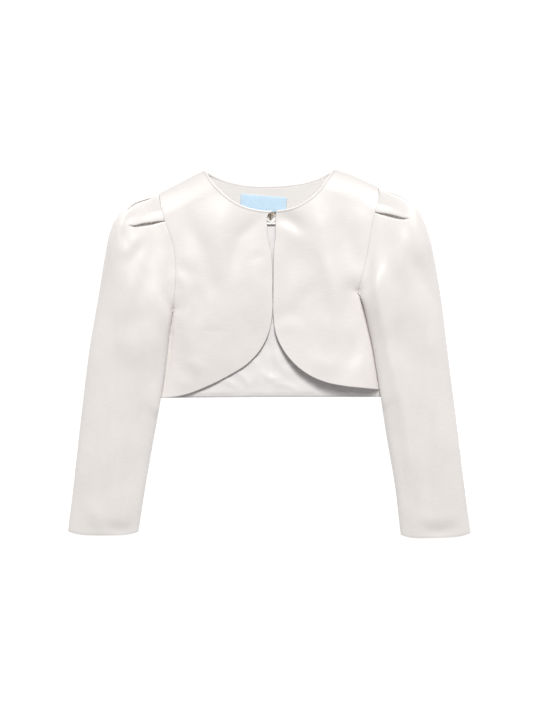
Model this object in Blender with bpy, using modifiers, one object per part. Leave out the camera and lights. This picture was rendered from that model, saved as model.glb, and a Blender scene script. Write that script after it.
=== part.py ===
"""A child's ivory satin bolero jacket, laid flat on its back with its front side up.

The floor is z = 0, the neck points along +Y and the jacket is about as wide as its sleeves are long.
Sizes and places are in millimetres here, and each mesh is scaled to metres as it is made.
"""

import math
from collections import namedtuple

import bmesh
import bpy
import numpy as np

MM = 0.001

# Walls and gaps
BACK_WALL = 1.2
LINING_WALL = 1.0
LABEL_WALL = 1.0
FRONT_WALL = 1.8
SLEEVE_WALL = 1.4
SEAM_GAP = 0.3
ARMHOLE_GAP = 0.6
LINING_FLOOR = BACK_WALL + SEAM_GAP
LINING_TOP = LINING_FLOOR + LINING_WALL
FRONT_FLOOR = LINING_TOP + SEAM_GAP
SEAM_TOP = FRONT_FLOOR + FRONT_WALL

# Soft shapes
SOFT_EDGE = 24.0        # how far a front takes to round up from its shoulder or side seam
SLEEVE_REST = SEAM_TOP + 0.8
SLEEVE_REST_PAST = 14.0     # and how far it stays up below the hem
SLEEVE_REST_RUN = 13.0  # how far the sleeve takes to come down from the side seam to the floor
HEAD_SEAM_HEIGHT = 9.0
UNDER_SLEEVE = 5.0      # the strip of a front that the sleeve presses flat, past its own edge

# Meshes: cells across and along each piece
FRONT_CELLS = (18, 24)
SHOULDER_SHARE = 7 / 18
ARMHOLE_SHARE = 14 / 24
BACK_CELLS = (14, 24)
BACK_SHOULDER_SHARE = 3 / 14
FACING_CELLS = (14, 3)
LINING_CELLS = (14, 10)
SLEEVE_RINGS = 30

WIRE_RADIUS = 0.45

Spot = namedtuple("Spot", "x y")
Height = namedtuple("Height", "x y height")
Crease = namedtuple("Crease", "start middle end width rise")
Station = namedtuple("Station", "outer inner crown pleat")
Finish = namedtuple("Finish", "name colour roughness metallic")
Side = namedtuple("Side", "name sign shoulder armhole seam neck edge corner outer inner heights creases folds")

SATIN = Finish("ivory satin", (0.84, 0.82, 0.79, 1.0), 0.42, 0.0)
LINING = Finish("lining satin", (0.80, 0.79, 0.80, 1.0), 0.35, 0.0)
WOVEN = Finish("pale blue label", (0.62, 0.77, 0.92, 1.0), 0.70, 0.0)
METAL = Finish("aged brass wire", (0.42, 0.35, 0.24, 1.0), 0.35, 1.0)

# Where the sections of a sleeve lie: shares of the outer and inner edge, the crown's height, and where
# the pleat crosses, as a share of the way from the inner edge to the outer one
STATIONS = (
    Station(outer=0.000, inner=0.000, crown=9.0, pleat=0.760),
    Station(outer=0.045, inner=0.011, crown=15.0, pleat=0.770),
    Station(outer=0.086, inner=0.026, crown=19.0, pleat=0.802),
    Station(outer=0.122, inner=0.041, crown=22.0, pleat=0.860),
    Station(outer=0.153, inner=0.059, crown=23.5, pleat=0.870),
    Station(outer=0.190, inner=0.082, crown=24.0, pleat=0.865),
    Station(outer=0.244, inner=0.120, crown=23.5, pleat=0.850),
    Station(outer=0.300, inner=0.180, crown=22.0, pleat=0.830),
    Station(outer=0.372, inner=0.262, crown=20.0, pleat=0.810),
    Station(outer=0.450, inner=0.363, crown=18.5, pleat=0.790),
    Station(outer=0.540, inner=0.475, crown=17.5, pleat=0.780),
    Station(outer=0.643, inner=0.590, crown=16.0, pleat=0.770),
    Station(outer=0.745, inner=0.710, crown=15.0, pleat=0.760),
    Station(outer=0.847, inner=0.830, crown=14.0, pleat=0.760),
    Station(outer=0.937, inner=0.930, crown=13.0, pleat=0.760),
    Station(outer=1.000, inner=1.000, crown=12.0, pleat=0.760),
)
HEAD_END = 0.244        # the share of the outer edge where the sections no longer bend round the armhole
PLEAT_END = 0.135       # and where the pleat has opened out
PLEAT_BASE = 0.76
PLEAT_DEPTH = 4.0
PLEAT_RISE = 3.0
PLEAT_WIDTH = 3.0
PLEAT_REACH = 16.0
CUFF_DROP = 5.0
CUFF_START = 0.80
FOLD_RADIUS = 5.0
CROWN_POWER = 2.3
FRONT_COLUMNS = (0, 0.012, 0.045, 0.10, 0.18, 0.27, 0.36, 0.45, 0.54, 0.63, 0.70, 0.74, 0.76, 0.78, 0.83,
                 0.90, 0.955, 0.988, 1)
BACK_COLUMNS = (1, 0.988, 0.955, 0.90, 0.82, 0.74, 0.66, 0.56, 0.42, 0.28, 0.18, 0.10, 0.045, 0.012, 0)

LEFT = Side(
    name="left",
    sign=-1,
    shoulder=(Spot(-133.0, 191.6), Spot(-107.4, 204.8), Spot(-93.0, 212.6), Spot(-77.0, 220.4)),
    armhole=(Spot(-133.0, 191.6), Spot(-131.4, 183.6), Spot(-126.5, 162.0), Spot(-118.2, 138.6),
             Spot(-113.2, 118.0), Spot(-112.2, 95.0), Spot(-113.4, 72.6), Spot(-115.8, 52.2)),
    seam=(Spot(-115.8, 52.2), Spot(-122.4, 38.0), Spot(-126.6, 16.0), Spot(-131.0, -14.0), Spot(-136.5, -53.4)),
    neck=(Spot(-77.0, 220.4), Spot(-69.0, 207.0), Spot(-58.2, 195.0), Spot(-43.2, 183.0),
          Spot(-28.2, 175.9), Spot(-13.8, 172.4), Spot(-3.0, 171.2), Spot(4.4, 171.3)),
    edge=(Spot(4.4, 171.3), Spot(2.6, 168.9), Spot(-1.4, 166.8), Spot(-2.7, 162.0), Spot(-2.6, 150.0),
          Spot(-2.0, 137.0), Spot(1.6, 123.0), Spot(3.3, 105.0), Spot(3.6, 75.0), Spot(3.2, 45.0),
          Spot(-1.8, 22.2), Spot(-13.8, 0.6), Spot(-28.2, -13.8), Spot(-47.4, -25.8), Spot(-76.2, -40.2),
          Spot(-97.0, -48.2), Spot(-117.0, -52.4), Spot(-136.5, -53.4)),
    corner=0.53,
    outer=(Spot(-133.0, 191.6), Spot(-139.4, 190.8), Spot(-150.6, 188.0), Spot(-162.6, 183.6),
           Spot(-171.0, 177.2), Spot(-178.2, 169.8), Spot(-185.4, 159.6), Spot(-190.2, 148.2),
           Spot(-193.8, 135.0), Spot(-198.0, 112.2), Spot(-205.8, 64.2), Spot(-214.2, 16.2),
           Spot(-226.2, -79.8), Spot(-237.0, -175.8), Spot(-241.6, -212.6)),
    inner=(Spot(-115.8, 52.2), Spot(-118.2, 36.6), Spot(-120.6, 16.2), Spot(-123.2, -7.8),
           Spot(-130.2, -55.8), Spot(-139.0, -103.8), Spot(-147.4, -151.8), Spot(-157.0, -213.0)),
    heights=(
        Height(-77.0, 220.0, 8.0), Height(-104.0, 207.0, 9.5), Height(-131.0, 193.0, 10.5),
        Height(-58.0, 195.0, 8.0), Height(-28.0, 175.0, 8.2), Height(-3.0, 169.0, 7.6),
        Height(-113.0, 120.0, 12.0), Height(-112.0, 88.0, 13.0), Height(-116.0, 52.0, 13.5),
        Height(-122.0, 0.0, 10.0), Height(-130.0, -50.0, 7.5), Height(-95.0, -47.0, 6.5),
        Height(-76.0, -40.0, 6.3), Height(-47.0, -26.0, 6.3), Height(-28.0, -14.0, 6.8),
        Height(-14.0, 0.0, 7.0), Height(-2.0, 22.0, 7.4), Height(4.0, 45.0, 7.8),
        Height(4.0, 100.0, 8.2), Height(-2.0, 145.0, 7.8), Height(-55.0, 155.0, 11.0),
        Height(-60.0, 90.0, 12.5), Height(-60.0, 30.0, 10.5), Height(-90.0, 60.0, 13.0),
        Height(-92.0, 5.0, 10.5),
    ),
    creases=(
        Crease((-71, 175), (-62, 122), (-70, 66), width=13, rise=1.6),
        Crease((-103, 160), (-94, 125), (-80, 88), width=8, rise=-1.6),
        Crease((-111, 92), (-97, 52), (-107, 14), width=7, rise=1.8),
        Crease((-109, 102), (-98, 90), (-84, 79), width=5, rise=-2.0),
        Crease((-26, 158), (-40, 126), (-50, 90), width=8, rise=-1.4),
        Crease((-24, 108), (-19, 72), (-27, 36), width=9, rise=1.0),
        Crease((-104, 4), (-93, -8), (-82, -20), width=6, rise=1.3),
    ),
    folds=(
        Crease((-182, 156), (-176, 117), (-147, 145), width=8, rise=2.0),
        Crease((-176, 108), (-170, 96), (-158, 86), width=7, rise=-2.0),
        Crease((-137, 140), (-138, 118), (-136, 96), width=6, rise=-2.0),
        Crease((-125, 138), (-125, 118), (-124, 98), width=5, rise=1.5),
        Crease((-184, 72), (-172, 52), (-158, 34), width=11, rise=1.6),
        Crease((-150, 10), (-162, -60), (-172, -130), width=12, rise=1.2),
    ),
)

RIGHT = Side(
    name="right",
    sign=1,
    shoulder=(Spot(131.0, 198.8), Spot(117.0, 205.8), Spot(100.2, 213.4), Spot(77.0, 221.8)),
    armhole=(Spot(131.0, 198.8), Spot(131.2, 189.0), Spot(126.6, 169.0), Spot(121.6, 147.0),
             Spot(117.2, 121.0), Spot(113.4, 102.6), Spot(108.6, 85.8), Spot(106.2, 73.8)),
    seam=(Spot(106.2, 73.8), Spot(115.6, 60.0), Spot(122.0, 36.0), Spot(129.4, 0.0), Spot(139.0, -44.0)),
    neck=(Spot(77.0, 221.8), Spot(69.0, 210.6), Spot(58.2, 195.5), Spot(43.2, 183.0), Spot(24.6, 174.0),
          Spot(7.9, 171.4)),
    edge=(Spot(7.9, 171.4), Spot(7.2, 155.0), Spot(6.6, 137.0), Spot(5.2, 123.0), Spot(4.6, 105.0),
          Spot(4.5, 75.0), Spot(4.6, 45.0), Spot(7.4, 24.0), Spot(15.0, 6.6), Spot(28.8, -11.4),
          Spot(47.4, -25.8), Spot(66.6, -34.2), Spot(85.8, -38.4), Spot(110.0, -41.2),
          Spot(139.0, -44.0)),
    corner=0.54,
    outer=(Spot(131.0, 198.8), Spot(138.0, 197.4), Spot(150.6, 194.4), Spot(160.0, 190.0),
           Spot(168.6, 184.2), Spot(176.0, 176.0), Spot(182.4, 164.5), Spot(188.0, 151.0),
           Spot(192.6, 136.2), Spot(197.8, 112.2), Spot(205.8, 64.2), Spot(211.8, 16.2),
           Spot(223.8, -79.8), Spot(235.8, -175.8), Spot(241.2, -214.6)),
    inner=(Spot(106.2, 73.8), Spot(111.5, 60.0), Spot(117.0, 37.8), Spot(121.8, 16.2),
           Spot(131.4, -41.4), Spot(141.0, -103.8), Spot(149.4, -151.8), Spot(157.2, -217.0)),
    heights=(
        Height(77.0, 221.0, 8.0), Height(104.0, 211.0, 9.5), Height(131.0, 198.0, 10.5),
        Height(58.0, 195.0, 8.2), Height(25.0, 173.0, 8.2), Height(7.0, 169.0, 7.6),
        Height(117.0, 120.0, 12.5), Height(111.0, 95.0, 13.0), Height(106.0, 74.0, 13.5),
        Height(118.0, 20.0, 12.0), Height(131.0, -42.0, 12.0), Height(105.0, -41.0, 13.5),
        Height(86.0, -38.0, 14.0), Height(66.0, -34.0, 13.0), Height(47.0, -26.0, 11.5),
        Height(29.0, -11.0, 10.0), Height(15.0, 7.0, 9.2), Height(4.5, 45.0, 8.0),
        Height(4.5, 100.0, 8.2), Height(7.0, 145.0, 7.8), Height(57.0, 155.0, 11.0),
        Height(62.0, 90.0, 12.5), Height(66.0, 30.0, 13.5), Height(92.0, 60.0, 13.0),
        Height(94.0, 5.0, 13.5),
    ),
    creases=(
        Crease((48, 150), (66, 86), (85, 26), width=12, rise=2.0),
        Crease((79, 146), (92, 122), (108, 100), width=10, rise=-2.0),
        Crease((60, 196), (86, 186), (120, 172), width=14, rise=1.0),
        Crease((12, 163), (28, 158), (46, 150), width=7, rise=-1.6),
        Crease((60, 82), (38, 66), (14, 44), width=9, rise=-1.3),
        Crease((103, 16), (105, 2), (103, -14), width=6, rise=-1.6),
        Crease((30, 128), (34, 104), (28, 84), width=10, rise=1.0),
    ),
    folds=(
        Crease((127, 136), (131, 72), (141, 4), width=7, rise=2.4),
        Crease((147, -8), (160, -64), (176, -138), width=8, rise=2.2),
        Crease((160, 120), (182, 90), (203, 58), width=9, rise=-2.2),
        Crease((141, 112), (146, 78), (156, 40), width=8, rise=-1.6),
        Crease((176, 140), (186, 124), (188, 100), width=8, rise=1.5),
        Crease((178, 10), (188, -50), (200, -110), width=12, rise=1.0),
    ),
)

BACK_NECK = (Spot(-77.0, 220.4), Spot(-61.8, 211.6), Spot(-39.0, 204.4), Spot(-19.0, 201.8), Spot(3.0, 201.6),
             Spot(27.0, 203.2), Spot(52.2, 208.4), Spot(66.6, 214.8), Spot(77.0, 221.8))
BACK_HEM = (Spot(-136.5, -53.4), Spot(0.0, -52.2), Spot(139.0, -52.2))
BACK_SIDE_RIGHT = (Spot(106.2, 73.8), Spot(115.6, 60.0), Spot(122.0, 36.0), Spot(129.4, 0.0), Spot(139.0, -52.2))
FACING_TOP = (Spot(-70.5, 210.5), Spot(-59.0, 206.6), Spot(-38.0, 200.6), Spot(-18.0, 198.2), Spot(3.0, 198.0),
              Spot(27.0, 199.5), Spot(50.0, 204.2), Spot(70.5, 211.5))
FACING_BOTTOM = (Spot(-92.0, 176.0), Spot(-48.0, 160.0), Spot(0.0, 154.6), Spot(48.0, 160.0), Spot(92.0, 176.0))
FACING_LEFT = (Spot(-70.5, 210.5), Spot(-92.0, 176.0))
FACING_RIGHT = (Spot(70.5, 211.5), Spot(92.0, 176.0))
LINING_DROP = 0.5       # under the facing
LINING_LEFT = (Spot(-92.0, 175.5), Spot(-106.0, 110.0), Spot(-108.0, 70.0), Spot(-118.0, 20.0),
               Spot(-133.0, -51.6))
LINING_RIGHT = (Spot(92.0, 175.5), Spot(106.0, 120.0), Spot(102.0, 74.0), Spot(114.0, 24.0), Spot(136.0, -50.8))
LINING_HEM = (Spot(-133.0, -51.6), Spot(0.0, -50.8), Spot(136.0, -50.8))
LABEL_CORNERS = (Spot(-34.2, 191.4), Spot(21.0, 186.8), Spot(19.5, 167.6), Spot(-35.7, 172.2))


def smooth_path(spots):
    """Return a function from a share of the length to a place on a smooth curve through the spots."""
    points = np.array(spots, float)
    lengths = np.linalg.norm(np.diff(points[:, :2], axis=0), axis=1)
    knots = np.concatenate([[0.0], np.cumsum(lengths)])
    knots /= knots[-1]
    if len(points) == 2:
        return lambda share: points[0] + (points[1] - points[0]) * share
    slopes = np.gradient(points, knots, axis=0)

    def place(share):
        cell = int(np.clip(np.searchsorted(knots, share) - 1, 0, len(knots) - 2))
        span = knots[cell + 1] - knots[cell]
        t = (share - knots[cell]) / span
        start, end = points[cell], points[cell + 1]
        return (start * (2 * t**3 - 3 * t**2 + 1) + end * (3 * t**2 - 2 * t**3)
                + slopes[cell] * span * (t**3 - 2 * t**2 + t) + slopes[cell + 1] * span * (t**3 - t**2))

    return place


def joined(first, second, share):
    """Run along one path up to the share, and along the next one after it."""
    return lambda t: first(t / share) if t <= share else second((t - share) / (1 - share))


def backwards(path):
    return lambda t: path(1 - t)


def patch(top, bottom, left, right):
    """Return the place (u, v) of a panel whose four edges are paths: u runs across, v down."""

    def place(u, v):
        corners = ((1 - u) * (1 - v) * top(0) + u * (1 - v) * top(1)
                   + (1 - u) * v * bottom(0) + u * v * bottom(1))
        return (1 - v) * top(u) + v * bottom(u) + (1 - u) * left(v) + u * right(v) - corners

    return place


def thin_plate(heights):
    """Return the smoothest height over the plan that passes through the stated ones."""
    spots = np.array(heights, float)
    places, values = spots[:, :2] / 100, spots[:, 2]

    def bend(distance):
        return np.where(distance > 0, distance**2 * np.log(np.maximum(distance, 1e-9)), 0.0)

    count = len(spots)
    spread = bend(np.linalg.norm(places[:, None] - places[None], axis=2))
    plane = np.column_stack([np.ones(count), places])
    system = np.block([[spread, plane], [plane.T, np.zeros((3, 3))]])
    weights = np.linalg.solve(system, np.concatenate([values, np.zeros(3)]))

    def height(x, y):
        here = np.array([x, y]) / 100
        reach = bend(np.linalg.norm(places - here, axis=1))
        return float(reach @ weights[:count] + weights[count:] @ [1.0, here[0], here[1]])

    return height


def crease_rise(creases):
    """Return the height that soft ridges and troughs add to the cloth at a place."""
    routes = []
    for crease in creases:
        path = smooth_path([crease.start, crease.middle, crease.end])
        shares = np.linspace(0, 1, 17)
        routes.append((np.array([path(share) for share in shares]), np.sin(math.pi * shares) ** 0.7, crease))

    def rise(x, y):
        total = 0.0
        for points, fade, crease in routes:
            distance = np.hypot(points[:, 0] - x, points[:, 1] - y)
            total += crease.rise * float(np.max(fade * np.exp(-((distance / crease.width) ** 2))))
        return total

    return rise


def smooth_step(value):
    value = min(max(value, 0.0), 1.0)
    return value * value * (3 - 2 * value)


def round_up(distance, reach):
    """Rise from 0 to 1 over the reach, as the quarter of an ellipse does."""
    share = min(max(distance / reach, 0.0), 1.0)
    return math.sqrt(1 - (1 - share) ** 2)


class FrontShape:
    """The plan and the height of one front."""

    def __init__(self, side):
        self.side = side
        self.edge = smooth_path(side.edge)
        self.armhole = smooth_path(side.armhole)
        shoulder = smooth_path(side.shoulder)
        self.plan = patch(
            top=joined(shoulder, smooth_path(side.neck), SHOULDER_SHARE),
            bottom=lambda u: self.edge(1 - u * (1 - side.corner)),
            left=joined(self.armhole, smooth_path(side.seam), ARMHOLE_SHARE),
            right=lambda v: self.edge(v * side.corner),
        )
        self.shoulder_line = np.array([shoulder(t) for t in np.linspace(0, 1, 25)])
        inner = smooth_path(side.inner)
        self.inner_line = np.array([inner(t) for t in np.linspace(0, 1, 60)])
        cells = round(FRONT_CELLS[1] * ARMHOLE_SHARE)
        self.armhole_line = np.array([self.armhole(cell / cells) for cell in range(cells + 1)])
        self.plate = thin_plate(side.heights)
        self.rise = crease_rise(side.creases)

    def armhole_place(self, share):
        """A place on the straight cells of the armhole's edge, as the share of the way down it."""
        shares = np.linspace(0, 1, len(self.armhole_line))
        return np.array([np.interp(share, shares, self.armhole_line[:, axis]) for axis in (0, 1)])

    def seam_distance(self, x, y):
        """Distance from the shoulder seam, and from the strip that the sleeve presses flat."""
        shoulder = np.min(np.hypot(self.shoulder_line[:, 0] - x, self.shoulder_line[:, 1] - y))
        line = self.inner_line
        if y > line[0, 1]:
            side = math.hypot(line[0, 0] - x, line[0, 1] - y)
        else:
            edge_x = np.interp(-y, -line[:, 1], line[:, 0])
            side = max(0.0, (edge_x - x) * self.side.sign - UNDER_SLEEVE)
        return shoulder, side

    def top(self, x, y):
        shoulder, side = self.seam_distance(x, y)
        soft = round_up(shoulder, SOFT_EDGE) * round_up(side, SOFT_EDGE)
        full = self.plate(x, y) + self.rise(x, y) * soft
        return SEAM_TOP + max(full - SEAM_TOP, 0.0) * soft

    def bottom(self, x, y):
        step = 0.5
        slope_x = (self.top(x + step, y) - self.top(x - step, y)) / (2 * step)
        slope_y = (self.top(x, y + step) - self.top(x, y - step)) / (2 * step)
        wall = FRONT_WALL * min(math.sqrt(1 + slope_x**2 + slope_y**2), 1.5)
        return max(self.top(x, y) - wall, FRONT_FLOOR)


class SleeveShape:
    """The rings of one sleeve, from the armhole to the cuff."""

    def __init__(self, side, front):
        self.side = side
        self.front = front
        self.outer = smooth_path(side.outer)
        self.inner = smooth_path(side.inner)
        self.rise = crease_rise(side.folds)
        seam = smooth_path(side.seam)
        self.seam_line = np.array([seam(t) for t in np.linspace(0, 1, 40)])
        rows = np.array(STATIONS)
        places = np.linspace(0, 1, len(rows))
        slopes = np.gradient(rows, places, axis=0)
        self.rows, self.places, self.slopes = rows, places, slopes

    def station(self, along):
        cell = int(np.clip(along * (len(self.rows) - 1), 0, len(self.rows) - 2))
        span = self.places[cell + 1] - self.places[cell]
        t = (along - self.places[cell]) / span
        values = (self.rows[cell] * (2 * t**3 - 3 * t**2 + 1) + self.rows[cell + 1] * (3 * t**2 - 2 * t**3)
                  + self.slopes[cell] * span * (t**3 - 2 * t**2 + t)
                  + self.slopes[cell + 1] * span * (t**3 - t**2))
        return Station(*values)

    def lift(self, x, y):
        """How high the sleeve lies where it rests on the side of the bodice."""
        line = self.seam_line
        seam_x = np.interp(-y, -line[:, 1], line[:, 0])
        outside = (x - seam_x) * self.side.sign - 1.0
        beyond = max(y - line[0, 1], line[-1, 1] - SLEEVE_REST_PAST - y, 0.0)
        across = 1 - smooth_step(outside / SLEEVE_REST_RUN)
        return SLEEVE_REST * across * (1 - smooth_step(beyond / SLEEVE_REST_RUN))

    def place(self, share, along, under):
        """Return a point of the outer surface: share runs from the inner to the outer edge."""
        row = self.station(along)
        if share < PLEAT_BASE:
            share = share * row.pleat / PLEAT_BASE
        else:
            share = row.pleat + (share - PLEAT_BASE) * (1 - row.pleat) / (1 - PLEAT_BASE)
        inner, outer = self.inner(row.inner), self.outer(row.outer)
        spot = inner * (1 - share) + outer * share
        bend = max(1 - row.outer / HEAD_END, 0.0) ** 1.5
        armhole = self.front.armhole_place(1 - share)
        chord = self.inner(0) * (1 - share) + self.outer(0) * share
        spot = spot + (armhole - chord) * bend
        spot[0] += self.side.sign * ARMHOLE_GAP * bend
        cuff = max(row.outer - CUFF_START, 0.0) / (1 - CUFF_START)
        spot[1] -= CUFF_DROP * (1 - (2 * share - 1) ** 4) * cuff**2
        return self.height(spot, share, row, float(np.linalg.norm(outer - inner)), under)

    def height(self, spot, share, row, width, under):
        x, y = spot
        edge_lift = self.lift(*self.inner(row.inner))
        fold = (edge_lift + FOLD_RADIUS) * (1 - share) + FOLD_RADIUS * share
        crown = (1 - abs(2 * share - 1) ** CROWN_POWER) ** (1 / CROWN_POWER)
        if under:
            lift = self.lift(x, y)
            radius = max(fold - lift, 0.0)
            inside = min(share, 1 - share) * width
            turn = max(radius - inside, 0.0)
            return np.array([x, y, lift + radius - math.sqrt(max(radius**2 - turn**2, 0.0))])
        full = fold + (row.crown - fold) * crown
        full += self.rise(x, y) * crown + self.pleat(share, row, width)
        low = FOLD_RADIUS + (HEAD_SEAM_HEIGHT - FOLD_RADIUS) * crown
        seam = max(self.front.top(*self.front.armhole_place(1 - share)), low)
        blend = smooth_step(row.outer / STATIONS[3].outer)
        return np.array([x, y, seam * (1 - blend) + full * blend])

    def pleat(self, share, row, width):
        """The pleat's flap stands up on the shoulder side and drops into a slit."""
        strength = smooth_step((PLEAT_END - row.outer) / 0.05) if row.outer > 0 else 1.0
        across = (share - row.pleat) * width
        slit = -PLEAT_DEPTH * math.exp(-((across / PLEAT_WIDTH) ** 2))
        flap = PLEAT_RISE * math.exp(-across / PLEAT_REACH) if across > PLEAT_WIDTH / 2 else 0.0
        return strength * (slit + flap)


def material(finish):
    found = bpy.data.materials.get(finish.name)
    if found:
        return found
    made = bpy.data.materials.new(finish.name)
    made.use_nodes = True
    shader = made.node_tree.nodes["Principled BSDF"]
    shader.inputs["Base Color"].default_value = finish.colour
    shader.inputs["Roughness"].default_value = finish.roughness
    shader.inputs["Metallic"].default_value = finish.metallic
    return made


def add_mesh(name, bm, finish, collection):
    """Turn a bmesh in millimetres into a piece in metres."""
    bmesh.ops.scale(bm, vec=(MM, MM, MM), verts=bm.verts)
    bmesh.ops.recalc_face_normals(bm, faces=bm.faces)
    mesh = bpy.data.meshes.new(name)
    bm.to_mesh(mesh)
    bm.free()
    mesh.shade_smooth()
    mesh.set_sharp_from_angle(angle=math.radians(50))
    mesh.materials.append(material(finish))
    piece = bpy.data.objects.new(name, mesh)
    collection.objects.link(piece)
    return piece


def add_panel(name, plan, cells, top, bottom, finish, collection):
    """A panel of cloth: a grid laid on the plan, and extruded between its two faces."""
    bm = bmesh.new()
    bmesh.ops.create_grid(bm, x_segments=cells[0], y_segments=cells[1], size=0.5)
    extruded = bmesh.ops.extrude_face_region(bm, geom=bm.faces[:])["geom"]
    upper = {item for item in extruded if isinstance(item, bmesh.types.BMVert)}
    for vert in bm.verts:
        x, y = plan(vert.co.x + 0.5, 0.5 - vert.co.y)
        vert.co = (x, y, top(x, y) if vert in upper else bottom(x, y))
    return add_mesh(name, bm, finish, collection)


def add_sleeve(shape, collection):
    """A sleeve: a grid rolled into a tube through its rings, with its wall inside them."""
    columns = [(share, False) for share in FRONT_COLUMNS] + [(share, True) for share in BACK_COLUMNS[1:]]
    around = len(columns) - 1
    bm = bmesh.new()
    bmesh.ops.create_grid(bm, x_segments=around, y_segments=SLEEVE_RINGS, size=0.5)
    for vert in bm.verts:
        share, under = columns[round((vert.co.x + 0.5) * around)]
        vert.co = shape.place(share, 0.5 - vert.co.y, under)
    bmesh.ops.remove_doubles(bm, verts=bm.verts, dist=0.001)
    piece = add_mesh(f"sleeve_{shape.side.name}", bm, SATIN, collection)
    wall = piece.modifiers.new("wall", "SOLIDIFY")
    wall.thickness = SLEEVE_WALL * MM
    wall.offset = -1.0
    wall.use_even_offset = True
    return piece


def add_wire(name, points, collection):
    """A bent wire of round section."""
    curve = bpy.data.curves.new(name, "CURVE")
    curve.dimensions = "3D"
    curve.bevel_depth = WIRE_RADIUS * MM
    curve.bevel_resolution = 2
    curve.use_fill_caps = True
    spline = curve.splines.new("POLY")
    spline.points.add(len(points) - 1)
    for place, point in zip(spline.points, points):
        place.co = (*(value * MM for value in point), 1.0)
    curve.materials.append(material(METAL))
    piece = bpy.data.objects.new(name, curve)
    collection.objects.link(piece)
    return piece


def sampled(spots, count):
    path = smooth_path(spots)
    return [path(share) for share in np.linspace(0, 1, count)]


def back_panel(collection):
    """The back, cut in one, as it lies flat on the floor."""
    neck = smooth_path(BACK_NECK)
    shoulder_left, shoulder_right = smooth_path(LEFT.shoulder), backwards(smooth_path(RIGHT.shoulder))
    rest = 1 - BACK_SHOULDER_SHARE
    top = joined(joined(shoulder_left, neck, BACK_SHOULDER_SHARE / rest), shoulder_right, rest)
    plan = patch(
        top=top,
        bottom=smooth_path(BACK_HEM),
        left=joined(smooth_path(LEFT.armhole), smooth_path(LEFT.seam), ARMHOLE_SHARE),
        right=joined(smooth_path(RIGHT.armhole), smooth_path(BACK_SIDE_RIGHT), ARMHOLE_SHARE),
    )
    add_panel("back", plan, BACK_CELLS, lambda x, y: BACK_WALL, lambda x, y: 0.0, SATIN, collection)


def back_inside(collection):
    """The neck facing, the lining below it and the label on it."""
    top, bottom = (lambda x, y: LINING_TOP), (lambda x, y: LINING_FLOOR)
    facing_bottom = smooth_path(FACING_BOTTOM)
    facing = patch(smooth_path(FACING_TOP), facing_bottom, smooth_path(FACING_LEFT), smooth_path(FACING_RIGHT))
    add_panel("back_neck_facing", facing, FACING_CELLS, top, bottom, SATIN, collection)
    lining = patch(
        top=lambda u: facing_bottom(u) - np.array([0.0, LINING_DROP]),
        bottom=smooth_path(LINING_HEM),
        left=smooth_path(LINING_LEFT),
        right=smooth_path(LINING_RIGHT),
    )
    add_panel("back_lining", lining, LINING_CELLS, top, bottom, LINING, collection)
    corners = [np.array(corner) for corner in LABEL_CORNERS]
    label = patch(
        top=lambda u: corners[0] * (1 - u) + corners[1] * u,
        bottom=lambda u: corners[3] * (1 - u) + corners[2] * u,
        left=lambda v: corners[0] * (1 - v) + corners[3] * v,
        right=lambda v: corners[1] * (1 - v) + corners[2] * v,
    )
    floor = LINING_TOP + SEAM_GAP
    add_panel("label", label, (4, 2), lambda x, y: floor + LABEL_WALL, lambda x, y: floor, WOVEN, collection)


def fastener(fronts, collection):
    """The hook, sewn under the left front's corner, closed over the eye that is sewn under the right one's.

    The two hang down from the corners and meet in a V, the hook's shank below the eye and its bill above.
    """
    shank_z, bar_z, bill_z = 4.3, 5.7, 7.1
    sewn_left = fronts["left"].bottom(-8.0, 167.0) - SEAM_GAP - WIRE_RADIUS
    hook = [(-9.5, 169.0, sewn_left), (-11.0, 167.4, sewn_left), (-9.5, 165.8, sewn_left),
            (-6.5, 167.0, sewn_left), (-3.6, 168.0, sewn_left - 0.3), (-1.2, 167.6, shank_z + 0.2),
            (0.3, 165.2, shank_z), (1.4, 162.9, shank_z + 0.1), (2.1, 161.6, bar_z),
            (1.5, 162.8, bill_z - 0.1), (0.4, 165.0, bill_z), (-0.1, 166.1, bill_z - 0.1)]
    add_wire("hook", sampled(hook, 40), collection)
    sewn_right = fronts["right"].bottom(11.0, 169.0) - SEAM_GAP - WIRE_RADIUS
    eye = [(13.2, 171.4, sewn_right), (11.0, 171.4, sewn_right), (8.0, 169.9, sewn_right),
           (4.4, 168.3, bar_z - 0.7), (1.8, 166.8, bar_z - 0.2), (0.6, 164.7, bar_z), (1.4, 163.0, bar_z),
           (3.2, 163.4, bar_z), (4.4, 165.4, bar_z - 0.2), (6.0, 166.6, bar_z - 0.6),
           (8.6, 167.4, sewn_right), (12.5, 168.0, sewn_right)]
    add_wire("eye", sampled(eye, 34), collection)


def main():
    for piece in list(bpy.data.objects):
        bpy.data.objects.remove(piece, do_unlink=True)
    collection = bpy.data.collections.new("bolero jacket")
    bpy.context.scene.collection.children.link(collection)
    back_panel(collection)
    back_inside(collection)
    fronts = {side.name: FrontShape(side) for side in (LEFT, RIGHT)}
    for side in (LEFT, RIGHT):
        front = fronts[side.name]
        add_panel(f"front_{side.name}", front.plan, FRONT_CELLS, front.top, front.bottom, SATIN, collection)
        add_sleeve(SleeveShape(side, front), collection)
    fastener(fronts, collection)


main()
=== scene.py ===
"""The looks of a child's ivory satin bolero jacket, laid flat on its back with its front side up.

Sizes and places are in millimetres on the plan of the floor, and each mesh is scaled to metres as it is
made. The neck points along +Y, and "left" and "right" are as the camera sees them.
"""

import logging
import math
from collections.abc import Callable, Sequence
from dataclasses import dataclass
from enum import Enum

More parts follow.
